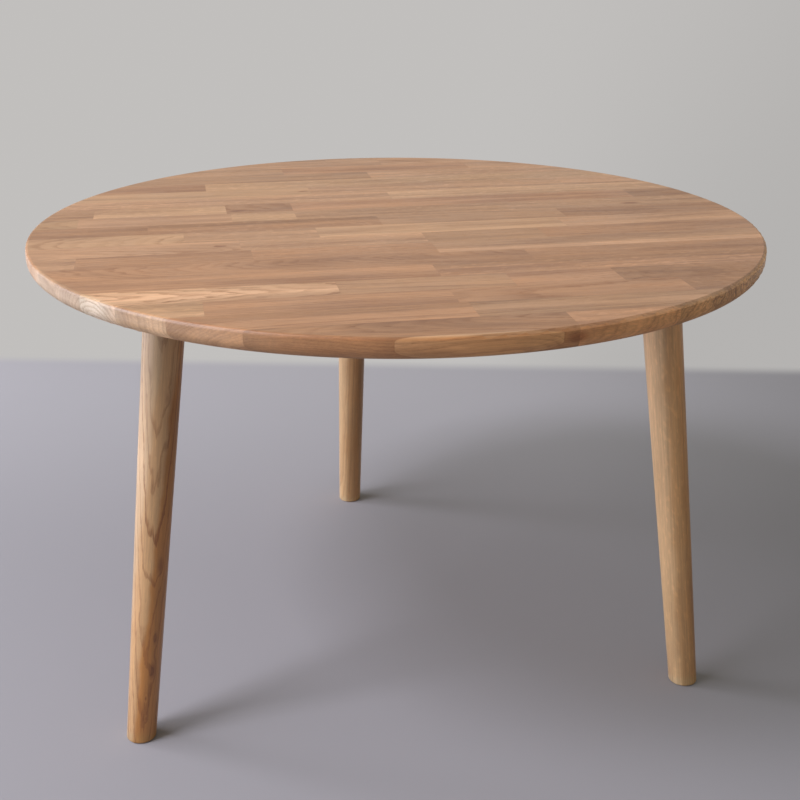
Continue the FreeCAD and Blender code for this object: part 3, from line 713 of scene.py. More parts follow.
@dataclass
class TableTop:
    """The round top: a slab of oak staves glued edge to edge, each row butted from shorter lengths.

    A slope is two values of what it reads, and what it makes of them.

    Args:
        node: the CAD node.
        height: the top face above the floor, in millimetres.
        radius: its radius, in millimetres.
        row_width: the width of a stave, in millimetres.
        row_line: where the row after the middle one starts, in millimetres across the grain.
        glue_line: half the width of a glue line, in millimetres.
        glue_share: how much of a glue line's colour shows.
        glue_colour: what the wood's colour is multiplied by at a glue line.
        edge_slope: how squarely the face looks up where it is all edge and where it is none.
        edge_colours: what the edge's colour is multiplied by, at shares of the way from left to right: partly
            its own colour, and partly painted light, a pale painted sheen on the left and a painted
            lightening to the right.
        end_slope: how squarely a face looks along the grain where it starts to show its end, and does.
        under_slope: how squarely the underside looks down, and how much rougher it is.
        heart_slope: how far the heart of the log is, by how the stave was sawn.
        heart_chance: how widely that distance varies, and its least share.
        lean_slope: how far the heart drifts down along a stave, by how it was sawn.
        drift: how far the heart drifts sideways at most, for each millimetre along.
        shift: how far along a stave its figure is moved at most, in millimetres.
        ring_widths: the narrowest and the widest year's ring, in millimetres.
        bold_slope: how strongly the rings show, by how the stave was sawn.
        silk_slope: how strongly the rays show, by how the stave was sawn.
        end_wild: how much further the rings wander towards the right, in millimetres.
        right_span: where the wood gets wild and checked towards the right, in millimetres.
        checked_slope: how much of the right end is checked, from the front to the back.
        checked_edge: how much of an edge a face is where checks start and are full.
        band_drift: how far a band wanders across its stave, as a share of the width.
        band_slope: how far from its middle a band is full and has ended, as shares of the width.
        band_light: how much the lightest band adds to the darkest.
        arris_slopes: how squarely the arris with painted shade looks up, where it starts and where it ends.
        painted_arris_shade_slope: how far to the right the arris has painted shade, in millimetres.
        arris_spans: how far in and how far up the worn arris starts and is full, in millimetres.
        rubbed_most: how much the arris is worn at most.
        painted_sheen_place: the middle of a patch of painted sheen on the left of the edge, in millimetres.
        painted_sheen_slope: how far from there the painted sheen reaches, and how strong it is.
        painted_sheen_rim: how far from the middle of the top it starts and is full.
        oak: its wood.
        rows: its staves, from the back row to the front.
    """

    node: str = "table_top"
    height: float = 390.0
    radius: float = 300.0
    row_width: float = 32.3
    row_line: float = -4.3
    glue_line: float = 0.14
    glue_share: float = 0.35
    glue_colour: Colour = (0.55, 0.45, 0.38)
    edge_slope: Slope = (0.55, 0.97, 1.0, 0.0)
    # Partly the edge's own colour and partly painted light: a pale painted sheen at the left, and a painted
    # lightening towards the right.
    edge_colours: tuple[tuple[float, Colour], ...] = (
        (0.05, (0.95, 1.10, 1.30)), (0.088, (0.78, 0.90, 1.05)), (0.12, (0.77, 0.88, 1.03)),
        (0.21, (0.90, 1.00, 1.06)), (0.33, (1.04, 0.99, 0.90)), (0.52, (1.05, 0.90, 0.72)),
        (0.67, (1.50, 1.42, 1.25)), (0.78, (1.60, 1.50, 1.22)), (0.90, (2.62, 2.70, 2.16)))
    end_slope: Slope = (0.25, 0.85, 0.0, 1.0)
    under_slope: Slope = (-0.8, -0.2, 0.15, 0.0)
    heart_slope: Slope = (0.3, 0.9, 70.0, 24.0)
    heart_chance: Span = (1.6, 0.6)
    lean_slope: Slope = (0.5, 0.9, 0.04, 0.12)
    drift: float = 0.025
    shift: float = 200.0
    ring_widths: Span = (1.7, 3.2)
    bold_slope: Slope = (0.3, 0.86, 0.36, 0.48)
    silk_slope: Slope = (0.05, 0.6, 0.9, 0.30)
    end_wild: float = 5.0
    right_span: Span = (60.0, 180.0)
    checked_slope: Slope = (-120.0, 120.0, 1.0, 0.3)
    checked_edge: Span = (0.7, 1.0)
    band_drift: float = 0.5
    band_slope: Slope = (0.06, 0.34, 1.0, 0.0)
    band_light: float = 0.55
    arris_slopes: tuple[Slope, Slope] = ((0.02, 0.30, 0.0, 1.0), (0.90, 0.995, 1.0, 0.0))
    painted_arris_shade_slope: Slope = (0.0, 150.0, 1.0, 0.0)
    arris_spans: tuple[Span, Span] = ((4.0, 1.0), (-4.0, -0.5))
    rubbed_most: float = 0.15
    painted_sheen_place: Point = (-264.0, -150.0, -6.0)
    painted_sheen_slope: Slope = (30.0, 75.0, 1.6, 0.0)
    painted_sheen_rim: Span = (296.0, 299.0)
    oak: OiledOak = field(default_factory=OiledOak)
    rows: tuple[tuple[Stave, ...], ...] = ROWS

    def __post_init__(self) -> None:
        """Starts its material."""
        self.material, self.bench = new_finish("oak_top")

    def build(self) -> None:
        """Dresses the slab."""
        bench = self.bench
        texture = bench.node("TexCoord")
        place = bench.vector("SUBTRACT", texture.outputs["Object"], (0.0, 0.0, self.height * TO_METRES))
        place = bench.scale(place, TO_MILLIMETRES)
        x, y, _ = bench.split(place)
        end_facing, _, up_facing = bench.split(texture.outputs["Normal"])
        edge = bench.fade(bench.math("ABSOLUTE", up_facing), *self.edge_slope)
        row_place = bench.math("DIVIDE", bench.math("SUBTRACT", self.row_line, y), self.row_width)
        row = bench.math("FLOOR", row_place)
        share = bench.math("FRACT", row_place)
        at = bench.math("DIVIDE", bench.math("ADD", row, len(self.rows) // 2 + 0.5), len(self.rows))
        kind, band, count, joint_gap = self.find_stave(x, at)
        across = bench.times(bench.math("SUBTRACT", share, 0.5), self.row_width)
        chances = tuple(self.chances(row, count, seed) for seed in (FIRST_SEED, SECOND_SEED))
        wood = self.billet(place, across, kind, self.band_gain(band, share, place), chances, end_facing, edge)
        colour, rough, height = Grain(self.oak, bench, wood).lay()
        seam = bench.math("SUBTRACT", self.row_width / 2, bench.math("ABSOLUTE", across))
        glue = bench.fade(bench.math("MINIMUM", seam, joint_gap), 0.0, self.glue_line, self.glue_share, 0.0)
        colour = bench.tint(glue, colour, self.glue_colour)
        # The edge's own colour, with painted light: a pale painted sheen on the left of the rim and a painted
        # lightening towards the right.
        colour = bench.tint(edge, colour, self.edge_colour(x))
        # Painted shade on the upper arris, dimming its highlight.
        colour = bench.tint(self.painted_arris_shade(x, up_facing), colour, self.oak.painted_arris_shade_colour)
        rough = bench.math("ADD", rough, bench.fade(up_facing, *self.under_slope))
        self.oak.finish(bench, colour, rough, height)
        dress(self.node, self.material)

    def billet(self, place: Feed, across: Feed, kind: Feed, light: Feed, chances: Sequence[Socket],
               end_facing: Feed, edge: Feed) -> Billet:
        """Places a stave in its log.

        Args:
            place: the place in the top, in millimetres.
            across: the place across the stave.
            kind: the stave's tone, cut and hue.
            light: what its band makes of its lightness.
            chances: twice three random shares.
            end_facing: how squarely the face looks along the grain.
            edge: how much of the edge it is.

        Returns:
            Its place in the log.
        """
        bench = self.bench
        x, y, deep = bench.split(place)
        tone, cut, hue = bench.split(kind)
        far, coin, start = bench.split(chances[0])
        sideways, downwards, width = bench.split(chances[1])
        heart_across, heart_deep = self.heart(cut, far, coin)
        steep = bench.fade(cut, *self.lean_slope)
        plain = Figure(
            heart_across=heart_across,
            heart_deep=heart_deep,
            lean_across=bench.fade(sideways, 0.0, 1.0, -self.drift, self.drift),
            lean_deep=bench.times(steep, bench.fade(downwards, 0.0, 1.0, -1.0, 1.0)),
            spacing=bench.fade(width, 0.0, 1.0, *self.ring_widths),
            bold=bench.fade(cut, *self.bold_slope),
            shift=bench.math("MULTIPLY_ADD", start, self.shift * 2, -self.shift),
        )
        figure = self.choose(cut, plain)
        right = bench.fade(x, *self.right_span)
        checked = bench.times(right, bench.fade(y, *self.checked_slope))
        wild = bench.fade(edge, 0.0, 1.0, figure.wild, plain.wild)
        wild = bench.math("MULTIPLY_ADD", right, self.end_wild, wild)
        return Billet(
            place=place,
            along=x,
            across=across,
            deep=deep,
            figure=replace(figure, wild=wild),
            silk=bench.fade(cut, *self.silk_slope),
            chance=chances[0],
            tone=bench.times(tone, light),
            hue=hue,
            cut_end=bench.fade(bench.math("ABSOLUTE", end_facing), *self.end_slope),
            wear_and_painted_sheen=self.wear_and_painted_sheen(place),
            checked=bench.times(checked, bench.fade(edge, *self.checked_edge)),
            knots=TOP_KNOTS,
        )

    def chances(self, row: Feed, count: Feed, seed: float) -> Socket:
        """Gives three random shares to each stave, by its row and its number there, as a colour."""
        place = self.bench.join(row, count, seed)
        return self.bench.node("TexWhiteNoise", {"Vector": place}, noise_dimensions="3D").outputs["Color"]

    def heart(self, cut: Feed, chance: Feed, coin: Feed) -> tuple[Feed, Feed]:
        """Places the heart of the log that a stave came from.

        Args:
            cut: how the stave was sawn.
            chance: a random share for its distance.
            coin: a random share for its side.

        Returns:
            How far the heart is to the side and below, in millimetres.
        """
        bench = self.bench
        turn = bench.times(cut, math.pi / 2)
        far = bench.math("MULTIPLY_ADD", chance, *self.heart_chance)
        far = bench.times(far, bench.fade(cut, *self.heart_slope))
        side = bench.math("SIGN", bench.math("SUBTRACT", coin, 0.5))
        across = bench.times(bench.math("COSINE", turn), far, side)
        return across, bench.times(bench.math("SINE", turn), bench.times(far, -1.0))

    def choose(self, cut: Feed, plain: Figure) -> Figure:
        """Chooses a stave's figure by how it was sawn.

        Args:
            cut: how it was sawn.
            plain: its figure, unless it was sawn through the heart of its log or just above it.

        Returns:
            The figure.
        """
        chosen = []
        for value in fields(Figure):
            own, heart, crown = (getattr(figure, value.name) for figure in (plain, HEART, CROWN))
            figured = self.bench.fade(cut, *CROWN_CUT, heart, crown)
            chosen.append(self.bench.fade(cut, *HEART_CUT, own, figured))
        return Figure(*chosen)

    def find_stave(self, x: Feed, at: Feed) -> tuple[Socket, Socket, Feed, Feed]:
        """Finds which stave a place is in.

        Args:
            x: the place along the grain, in millimetres.
            at: the place of its row in the list, from 0 to 1.

        Returns:
            The stave's tone, cut and hue, its band, its number in the row, and the gap to the nearest joint.
        """
        bench = self.bench
        kind = self.row_values(at, 0).outputs["Color"]
        band = self.row_bands(at, 0)
        count: Feed = 0.0
        gap: Feed = self.radius
        share = bench.math("MULTIPLY_ADD", x, 1.0 / self.reach(), 0.5)
        for number in range(1, max(len(row) for row in self.rows)):
            stave = self.row_values(at, number)
            past = bench.math("GREATER_THAN", share, stave.outputs["Alpha"])
            kind = bench.mix(past, kind, stave.outputs["Color"])
            band = bench.mix(past, band, self.row_bands(at, number))
            count = bench.math("ADD", count, past)
            apart = bench.math("ABSOLUTE", bench.math("SUBTRACT", share, stave.outputs["Alpha"]))
            gap = bench.math("MINIMUM", gap, bench.times(apart, self.reach()))
        return kind, band, count, gap

    def reach(self) -> float:
        """Gives the length along the grain that a share of 1 stands for, in millimetres."""
        return self.radius * 4

    def row_values(self, at: Feed, number: int) -> bpy.types.Node:
        """Lays the rows' staves of one number in a ramp, its colour their kind and its alpha their start.

        Args:
            at: the place of the row in the list, from 0 to 1.
            number: the staves' number in their row.

        Returns:
            The ramp.
        """
        values = []
        for row in self.rows:
            stave = row[number] if number < len(row) else Stave(self.reach())
            start = stave.start / self.reach() + 0.5
            values.append((stave.tone.value, stave.cut.value, stave.hue.value, start))
        return self.steps(at, values)

    def row_bands(self, at: Feed, number: int) -> Socket:
        """Lays the bands of the rows' staves of one number in a ramp, as their place and lightness."""
        bands = [row[number].band.value if number < len(row) else Band.NONE.value for row in self.rows]
        return self.steps(at, [(*band, 0.0, 1.0) for band in bands]).outputs["Color"]

    def steps(self, at: Feed, values: Sequence[Sequence[float]]) -> bpy.types.Node:
        """Makes a ramp of even steps, each of a colour with alpha."""
        stops = [(place / len(values), value) for place, value in enumerate(values)]
        return self.bench.ramp(at, "CONSTANT", stops)

    def band_gain(self, band: Feed, share: Feed, place: Feed) -> Socket:
        """Says how much a sapwood or heartwood band lightens a place in a stave.

        Args:
            band: the band's place and lightness.
            share: the place across the stave, from its back edge.
            place: the place in the top.

        Returns:
            What the colour is multiplied by.
        """
        bench = self.bench
        middle, gain, _ = bench.split(band)
        drift = bench.math("SUBTRACT", bench.noise(place, Cloud.BAND_DRIFT), 0.5)
        middle = bench.math("MULTIPLY_ADD", drift, self.band_drift, middle)
        apart = bench.math("ABSOLUTE", bench.math("SUBTRACT", share, middle))
        gain = bench.times(bench.math("SUBTRACT", gain, 0.5), self.band_light)
        return bench.math("MULTIPLY_ADD", bench.fade(apart, *self.band_slope), gain, 1.0)

    def edge_colour(self, x: Feed) -> Socket:
        """Says how the edge of the slab is tinted from its left round its brown front to its right: partly
        its own colour, and partly painted light, a pale painted sheen on the left and a painted lightening to
        the right.
        """
        at = self.bench.math("MULTIPLY_ADD", x, 0.5 / self.radius, 0.5)
        stops = [(share, (*colour, 1.0)) for share, colour in self.edge_colours]
        return self.bench.ramp(at, "EASE", stops).outputs[0]

    def painted_arris_shade(self, x: Feed, facing: Feed) -> Feed:
        """Says how much painted shade darkens the upper arris, dimming its highlight, from the left round to
        the front.

        Args:
            x: the place along the grain, in millimetres.
            facing: how squarely the face looks up.

        Returns:
            How much, from 0 to 1.
        """
        arris = (self.bench.fade(facing, *slope) for slope in self.arris_slopes)
        return self.bench.times(*arris, self.bench.fade(x, *self.painted_arris_shade_slope))

    def wear_and_painted_sheen(self, place: Feed) -> Socket:
        """Says how much the arris round the top is worn, patch by patch, and where a patch of painted sheen
        lies on its left.

        Args:
            place: the place in the top, in millimetres.

        Returns:
            How much it is worn, and how much painted sheen it has.
        """
        bench = self.bench
        from_middle = bench.measure("LENGTH", bench.vector("MULTIPLY", place, (1.0, 1.0, 0.0)))
        inwards, upwards = self.arris_spans
        arris = bench.times(bench.fade(from_middle, self.radius - inwards[0], self.radius - inwards[1]),
                            bench.fade(bench.split(place)[2], *upwards),
                            bench.patches(place, Cloud.RUBBED_PATCHES, 0.0, self.rubbed_most))
        # A patch of painted sheen on the left of the rim.
        painted_sheen = bench.fade(bench.measure("DISTANCE", place, self.painted_sheen_place), *self.painted_sheen_slope)
        return bench.math("MAXIMUM", arris, bench.times(painted_sheen, bench.fade(from_middle, *self.painted_sheen_rim)))


# On the legs the straw tint is a painted highlight, pale and cool, on their lit left side.
LEG_OAK = OiledOak(latewood=(0.490, 0.268, 0.108), earlywood=(0.352, 0.157, 0.052), straw=(1.10, 1.27, 1.56),
                   # On the legs the russet tint is a painted warm bounce of light on their shaded right side.
                   russet=(1.0, 0.72, 0.36), gloss=0.75, film=0.25)
FIGURED_OAK = replace(LEG_OAK, latewood=(0.497, 0.290, 0.132), earlywood=(0.285, 0.118, 0.034),
                      spring_end=0.38)


@dataclass
class FoldingLeg:
    """A turned and tapered oak leg that folds under the top.

    Args:
        station: which leg it is.
        figure: where the heart of its log lay, and how its rings show. Its depth is towards the back.
        chance: three shares that set its place in the noises.
        silk: how strongly its rays show.
        tone: how light it is.
        dark_and_shaded_side: how light its right side is, beside the rest: partly darker wood and partly
            painted shade.
        dark_edge: where across it that side starts and is full, in millimetres.
        dark_wander: how far that edge wanders, in millimetres.
        dark_lean: how far that edge leans out for each millimetre up the leg.
        dark_height: how far up the leg that edge is in its own place, in millimetres.
        painted_bounce_hue: which way the colour of that side leans, from straw at 0 to russet at 1; its
            russet is a painted warm bounce of light.
        pale_edge: where across it the painted highlight of its left side ends, in millimetres.
        foot_tone: how light it is near the floor, beside its middle, as painted light.
        root_tone: how light it is near the top, as painted light.
        tone_span: how far up it those two are, in millimetres.
        shade_tones: how light its left and its right side are under the top: a painted shadow of the top, and
            a little painted light on the right.
        shade_span: how far up it that starts and is full, in millimetres.
        shade_edge: where across it its left side ends and its right side starts, in millimetres.
        end_slope: how squarely its face looks along the grain where it starts to show its end, and does.
        worn_foot: how far up its foot is worn, in millimetres, and how much.
        knots: its pin knots.
        foot_circle: how far its foot is from the middle, in metres.
        root_circle: how far its root is from the middle, in metres.
        root_height: the height of its root, in metres.
        oak: its wood.
    """

    station: str
    figure: Figure
    chance: Point
    silk: float = 0.5
    tone: float = 1.0
    dark_and_shaded_side: float = 0.9
    dark_edge: Span = (10.0, 16.0)
    dark_wander: float = 12.0
    dark_lean: float = 0.0
    dark_height: float = 150.0
    painted_bounce_hue: float = 0.72
    pale_edge: Span = (-4.0, 5.0)
    foot_tone: float = 0.91
    root_tone: float = 1.02
    tone_span: Span = (30.0, 330.0)
    shade_tones: Span = (1.0, 1.06)
    shade_span: Span = (235.0, 322.0)
    shade_edge: Span = (-4.0, 10.0)
    end_slope: Slope = (0.35, 0.9, 0.0, 1.0)
    worn_foot: Slope = (3.0, 12.0, 0.6, 0.0)
    knots: tuple[Knot, ...] = ()
    foot_circle: float = 0.2744
    root_circle: float = 0.221
    root_height: float = 0.374
    oak: OiledOak = LEG_OAK

    def axes(self) -> tuple[Vector, Matrix]:
        """Gives the middle of the foot, and the leg's own axes.

        Returns:
            The foot, and the grain, across and towards the back as the columns of a matrix.
        """
        angle = math.radians(STATIONS[self.station])
        out = Vector((math.cos(angle), math.sin(angle), 0.0))
        foot = out * self.foot_circle
        root = out * self.root_circle + Vector((0.0, 0.0, self.root_height))
        grain = (root - foot).normalized()
        across = Vector((1.0, 0.0, 0.0))
        across = (across - grain * across.dot(grain)).normalized()
        return foot, Matrix((grain, across, grain.cross(across))).transposed()

    def build(self) -> None:
        """Dresses the leg."""
        node = f"leg_{self.station}"
        material, bench = new_finish(f"oak_{node}")
        foot, axes = self.axes()
        texture = bench.node("TexCoord")
        turn = bench.node("Mapping", {"Vector": texture.outputs["Object"]}, vector_type="TEXTURE")
        turn.inputs["Location"].default_value = foot
        turn.inputs["Rotation"].default_value = axes.to_euler()
        place = bench.scale(turn.outputs[0], TO_MILLIMETRES)
        along, across, deep = bench.split(place)
        facing = bench.measure("DOT_PRODUCT", texture.outputs["Normal"], tuple(axes.transposed()[0]))
        edge = bench.math("MULTIPLY_ADD", bench.noise(place, Cloud.DARK_EDGE), self.dark_wander, across)
        risen = bench.math("SUBTRACT", along, self.dark_height)
        edge = bench.math("MULTIPLY_ADD", risen, -self.dark_lean, edge)
        # The right side is darker: partly the wood, partly painted shade.
        sides = bench.fade(edge, *self.dark_edge, self.tone, self.tone * self.dark_and_shaded_side)
        # Painted shadow of the top on the upper leg, with a little painted light on its right side.
        shade = bench.fade(across, *self.shade_edge, *self.shade_tones)
        shade = bench.fade(along, *self.shade_span, 1.0, shade)
        # Painted light: darker near the foot and lighter near the top.
        ends = bench.fade(along, *self.tone_span, self.foot_tone, self.root_tone)
        # Painted highlight: the left side leans to the pale straw tint.
        pale = bench.fade(edge, *self.pale_edge, Hue.STRAW.value, Hue.PLAIN.value)
        wood = Billet(
            place=place,
            along=along,
            across=across,
            deep=deep,
            figure=self.figure,
            silk=self.silk,
            chance=self.chance,
            tone=bench.times(sides, bench.times(shade, ends)),
            # The right side's russet lean is a painted warm bounce of light.
            hue=bench.fade(edge, *self.dark_edge, pale, self.painted_bounce_hue),
            cut_end=bench.fade(bench.math("ABSOLUTE", facing), *self.end_slope),
            wear_and_painted_sheen=bench.fade(along, *self.worn_foot),
            knots=self.knots,
        )
        self.oak.finish(bench, *Grain(self.oak, bench, wood).lay())
        dress(node, material)


LEG_KNOTS = (
    Knot((23.0, 2.7, -12.5), 2.2), Knot((42.0, 1.5, -13.0), 2.0), Knot((67.0, 6.0, -12.0), 6.0),
    Knot((96.0, 7.5, -12.5), 5.0), Knot((160.0, 8.5, -13.0), 6.5), Knot((298.0, 6.0, -16.5), 5.0),
)
LEGS = (
    FoldingLeg("rear", Figure(55.0, 30.0, 0.01, 0.02), (0.13, 0.71, 0.37), tone=0.93, dark_and_shaded_side=0.95,
               dark_edge=(4.0, 12.0)),
    FoldingLeg("front_left", Figure(4.0, 40.0, 0.012, 0.036, bold=0.9, wild=3.0), (0.42, 0.48, 0.48),
               tone=0.98, dark_and_shaded_side=0.85, dark_edge=(4.0, 10.0), dark_lean=0.055, painted_bounce_hue=1.0,
               pale_edge=(-9.0, -2.0), foot_tone=0.92, shade_tones=(0.70, 1.06), knots=LEG_KNOTS,
               oak=FIGURED_OAK),
    FoldingLeg("front_right", Figure(-70.0, 25.0, 0.01, -0.015, bold=0.22), (0.71, 0.25, 0.59), silk=0.9,
               tone=1.04, dark_and_shaded_side=1.0, dark_edge=(4.0, 14.0), root_tone=1.18),
)


@dataclass(frozen=True)
class PlatedSteel:
    """Steel with a plated or blackened face: cloudy, and lightly brushed.

    Args:
        name: what the finish is called.
        colour: its colour.
        rough: how rough it is.
        brushed: how strongly it is brushed.
        cloud: how cloudy its plating is.
        brush_height: how high the brushed lines stand, in millimetres.
    """

    name: str
    colour: Colour
    rough: float = 0.32
    brushed: float = 0.10
    cloud: float = 0.08
    brush_height: float = 0.004

    def material(self) -> bpy.types.Material:
        """Makes the material.

        Returns:
            The material.
        """
        made, bench = new_finish(self.name)
        place = bench.scale(bench.node("TexCoord").outputs["Object"], TO_MILLIMETRES)
        cloud = bench.noise(place, Cloud.PLATING)
        brush = bench.noise(place, Cloud.BRUSHING)
        light = bench.fade(cloud, *Cloud.PLATING.value.gate, 1.0 - self.cloud, 1.0 + self.cloud)
        rough = bench.math("MULTIPLY_ADD", brush, self.brushed, self.rough - self.brushed / 2)
        rough = bench.math("MULTIPLY_ADD", cloud, self.cloud, rough)
        bench.shade(bench.times(brush, self.brush_height),
                    {"Base Color": bench.scale(self.colour, light), "Metallic": 1.0, "Roughness": rough})
        return made


@dataclass(frozen=True)
class Nylon:
    """Natural nylon: milky and faintly cloudy.

    Args:
        colour: its colour.
        light_range: how dark and how light its clouds are.
        rough_range: how smooth and how rough they are.
        cloud_height: how high they stand, in millimetres.
        glow: how much of the light passes under its face.
    """

    colour: Colour = (0.80, 0.78, 0.71)
    light_range: Span = (0.94, 1.04)
    rough_range: Span = (0.42, 0.55)
    cloud_height: float = 0.02
    glow: float = 0.1

    def material(self) -> bpy.types.Material:
        """Makes the material.

        Returns:
            The material.
        """
        made, bench = new_finish("nylon")
        place = bench.scale(bench.node("TexCoord").outputs["Object"], TO_MILLIMETRES)
        cloud = bench.noise(place, Cloud.MILK)
        light, rough = (bench.fade(cloud, *Cloud.MILK.value.gate, *ends)
                        for ends in (self.light_range, self.rough_range))
        bench.shade(bench.times(cloud, self.cloud_height),
                    {"Base Color": bench.scale(self.colour, light), "Roughness": rough,
                     "Subsurface Weight": self.glow})
        return made


@dataclass
class HingeFittings:
    """The steel and nylon parts that hang the three legs.

    Args:
        spring_seat: the height that the catch springs are pressed flat towards, in metres. It is not used.
        pressed_share: how much of its depth a spring keeps when its leg is folded. It is not used.
    """

    spring_seat: float = 0.372
    pressed_share: float = 0.3

    def build(self) -> None:
        """Dresses the fittings of each station, and gives each catch spring a mesh of its own."""
        bolt = PlatedSteel("zinc_bolt", (0.56, 0.56, 0.55), 0.30).material()
        finishes = {
            "bracket": PlatedSteel("satin_nickel", (0.62, 0.60, 0.56), 0.34).material(),
            "hinge_bolt": bolt,
            "hinge_nut": bolt,
            "catch_rivets": bolt,
            "bracket_screws": PlatedSteel("zinc_screw", (0.60, 0.56, 0.48), 0.33).material(),
            "catch_spring": PlatedSteel("blacked_spring", (0.24, 0.24, 0.26), 0.36, 0.14).material(),
            "hinge_bush": PlatedSteel("turned_tube", (0.58, 0.58, 0.56), 0.28).material(),
            "hinge_washers": Nylon().material(),
        }
        for station in STATIONS:
            for fitting, material in finishes.items():
                dress(f"{fitting}_{station}", material)
            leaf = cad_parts[f"catch_spring_{station}"]
            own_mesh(leaf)


@dataclass(frozen=True)
class Lamp:
    """A soft lamp.

    Args:
        name: its name.
        place: where it hangs, in metres.
        width: how wide it is, in metres.
        height: how high it is, in metres.
        power: its power, in watts.
        colour: the colour of its light.
        aim: what it points at.
    """

    name: str
    place: Point
    width: float
    height: float
    power: float
    colour: Colour = (0.88, 0.88, 1.0)
    aim: Point = (0.0, 0.0, 0.2)

    def hang(self) -> None:
        """Hangs the lamp."""
        light = bpy.data.lights.new(self.name, "AREA")
        light.shape = "RECTANGLE"
        light.size, light.size_y = self.width, self.height
        light.energy, light.color = self.power, self.colour
        made = bpy.data.objects.new(self.name, light)
        made.location = self.place
        made.rotation_euler = (Vector(self.aim) - Vector(self.place)).to_track_quat("-Z", "Y").to_euler()
        bpy.context.scene.collection.objects.link(made)


@dataclass(frozen=True)
class Viewpoint:
    """Where the photograph was taken from.

    Args:
        place: where the camera stands, in metres.
        heading: which way it looks, in degrees from the way of the grain.
        pitch: how far down it looks, in radians.
        roll: how far it is tilted, in radians.
        lens: its focal length, in millimetres.
        sensor: the width of its sensor, in millimetres.
        shift: how far the picture is shifted sideways and up, as shares of its width.
        clip: the nearest and the farthest that it sees, in metres.
    """

    place: Point = (-0.18371, -0.98467, 0.62778)
    heading: float = 80.70
    pitch: float = 0.40011
    roll: float = -0.00515
    lens: float = 54.387
    sensor: float = 36.0
    shift: Span = (0.03954, 0.03361)
    clip: Span = (0.01, 100.0)

    def stand(self, scene: bpy.types.Scene) -> None:
        """Stands the camera there.

        Args:
            scene: the scene.
        """
        heading = math.radians(self.heading)
        level = Vector((math.cos(heading), math.sin(heading), 0.0))
        ahead = level * math.cos(self.pitch) - Vector((0.0, 0.0, math.sin(self.pitch)))
        right = Vector((math.sin(heading), -math.cos(heading), 0.0))
        up = right.cross(ahead)
        level_right = right * math.cos(self.roll) + up * math.sin(self.roll)
        level_up = up * math.cos(self.roll) - right * math.sin(self.roll)
        lens = bpy.data.cameras.new("camera")
        lens.lens, lens.sensor_width = self.lens, self.sensor
        lens.shift_x, lens.shift_y = self.shift
        lens.clip_start, lens.clip_end = self.clip
        made = bpy.data.objects.new("camera", lens)
        turned = Matrix((level_right, level_up, -ahead)).transposed().to_4x4()
        made.matrix_world = Matrix.Translation(self.place) @ turned
        scene.collection.objects.link(made)
        scene.camera = made


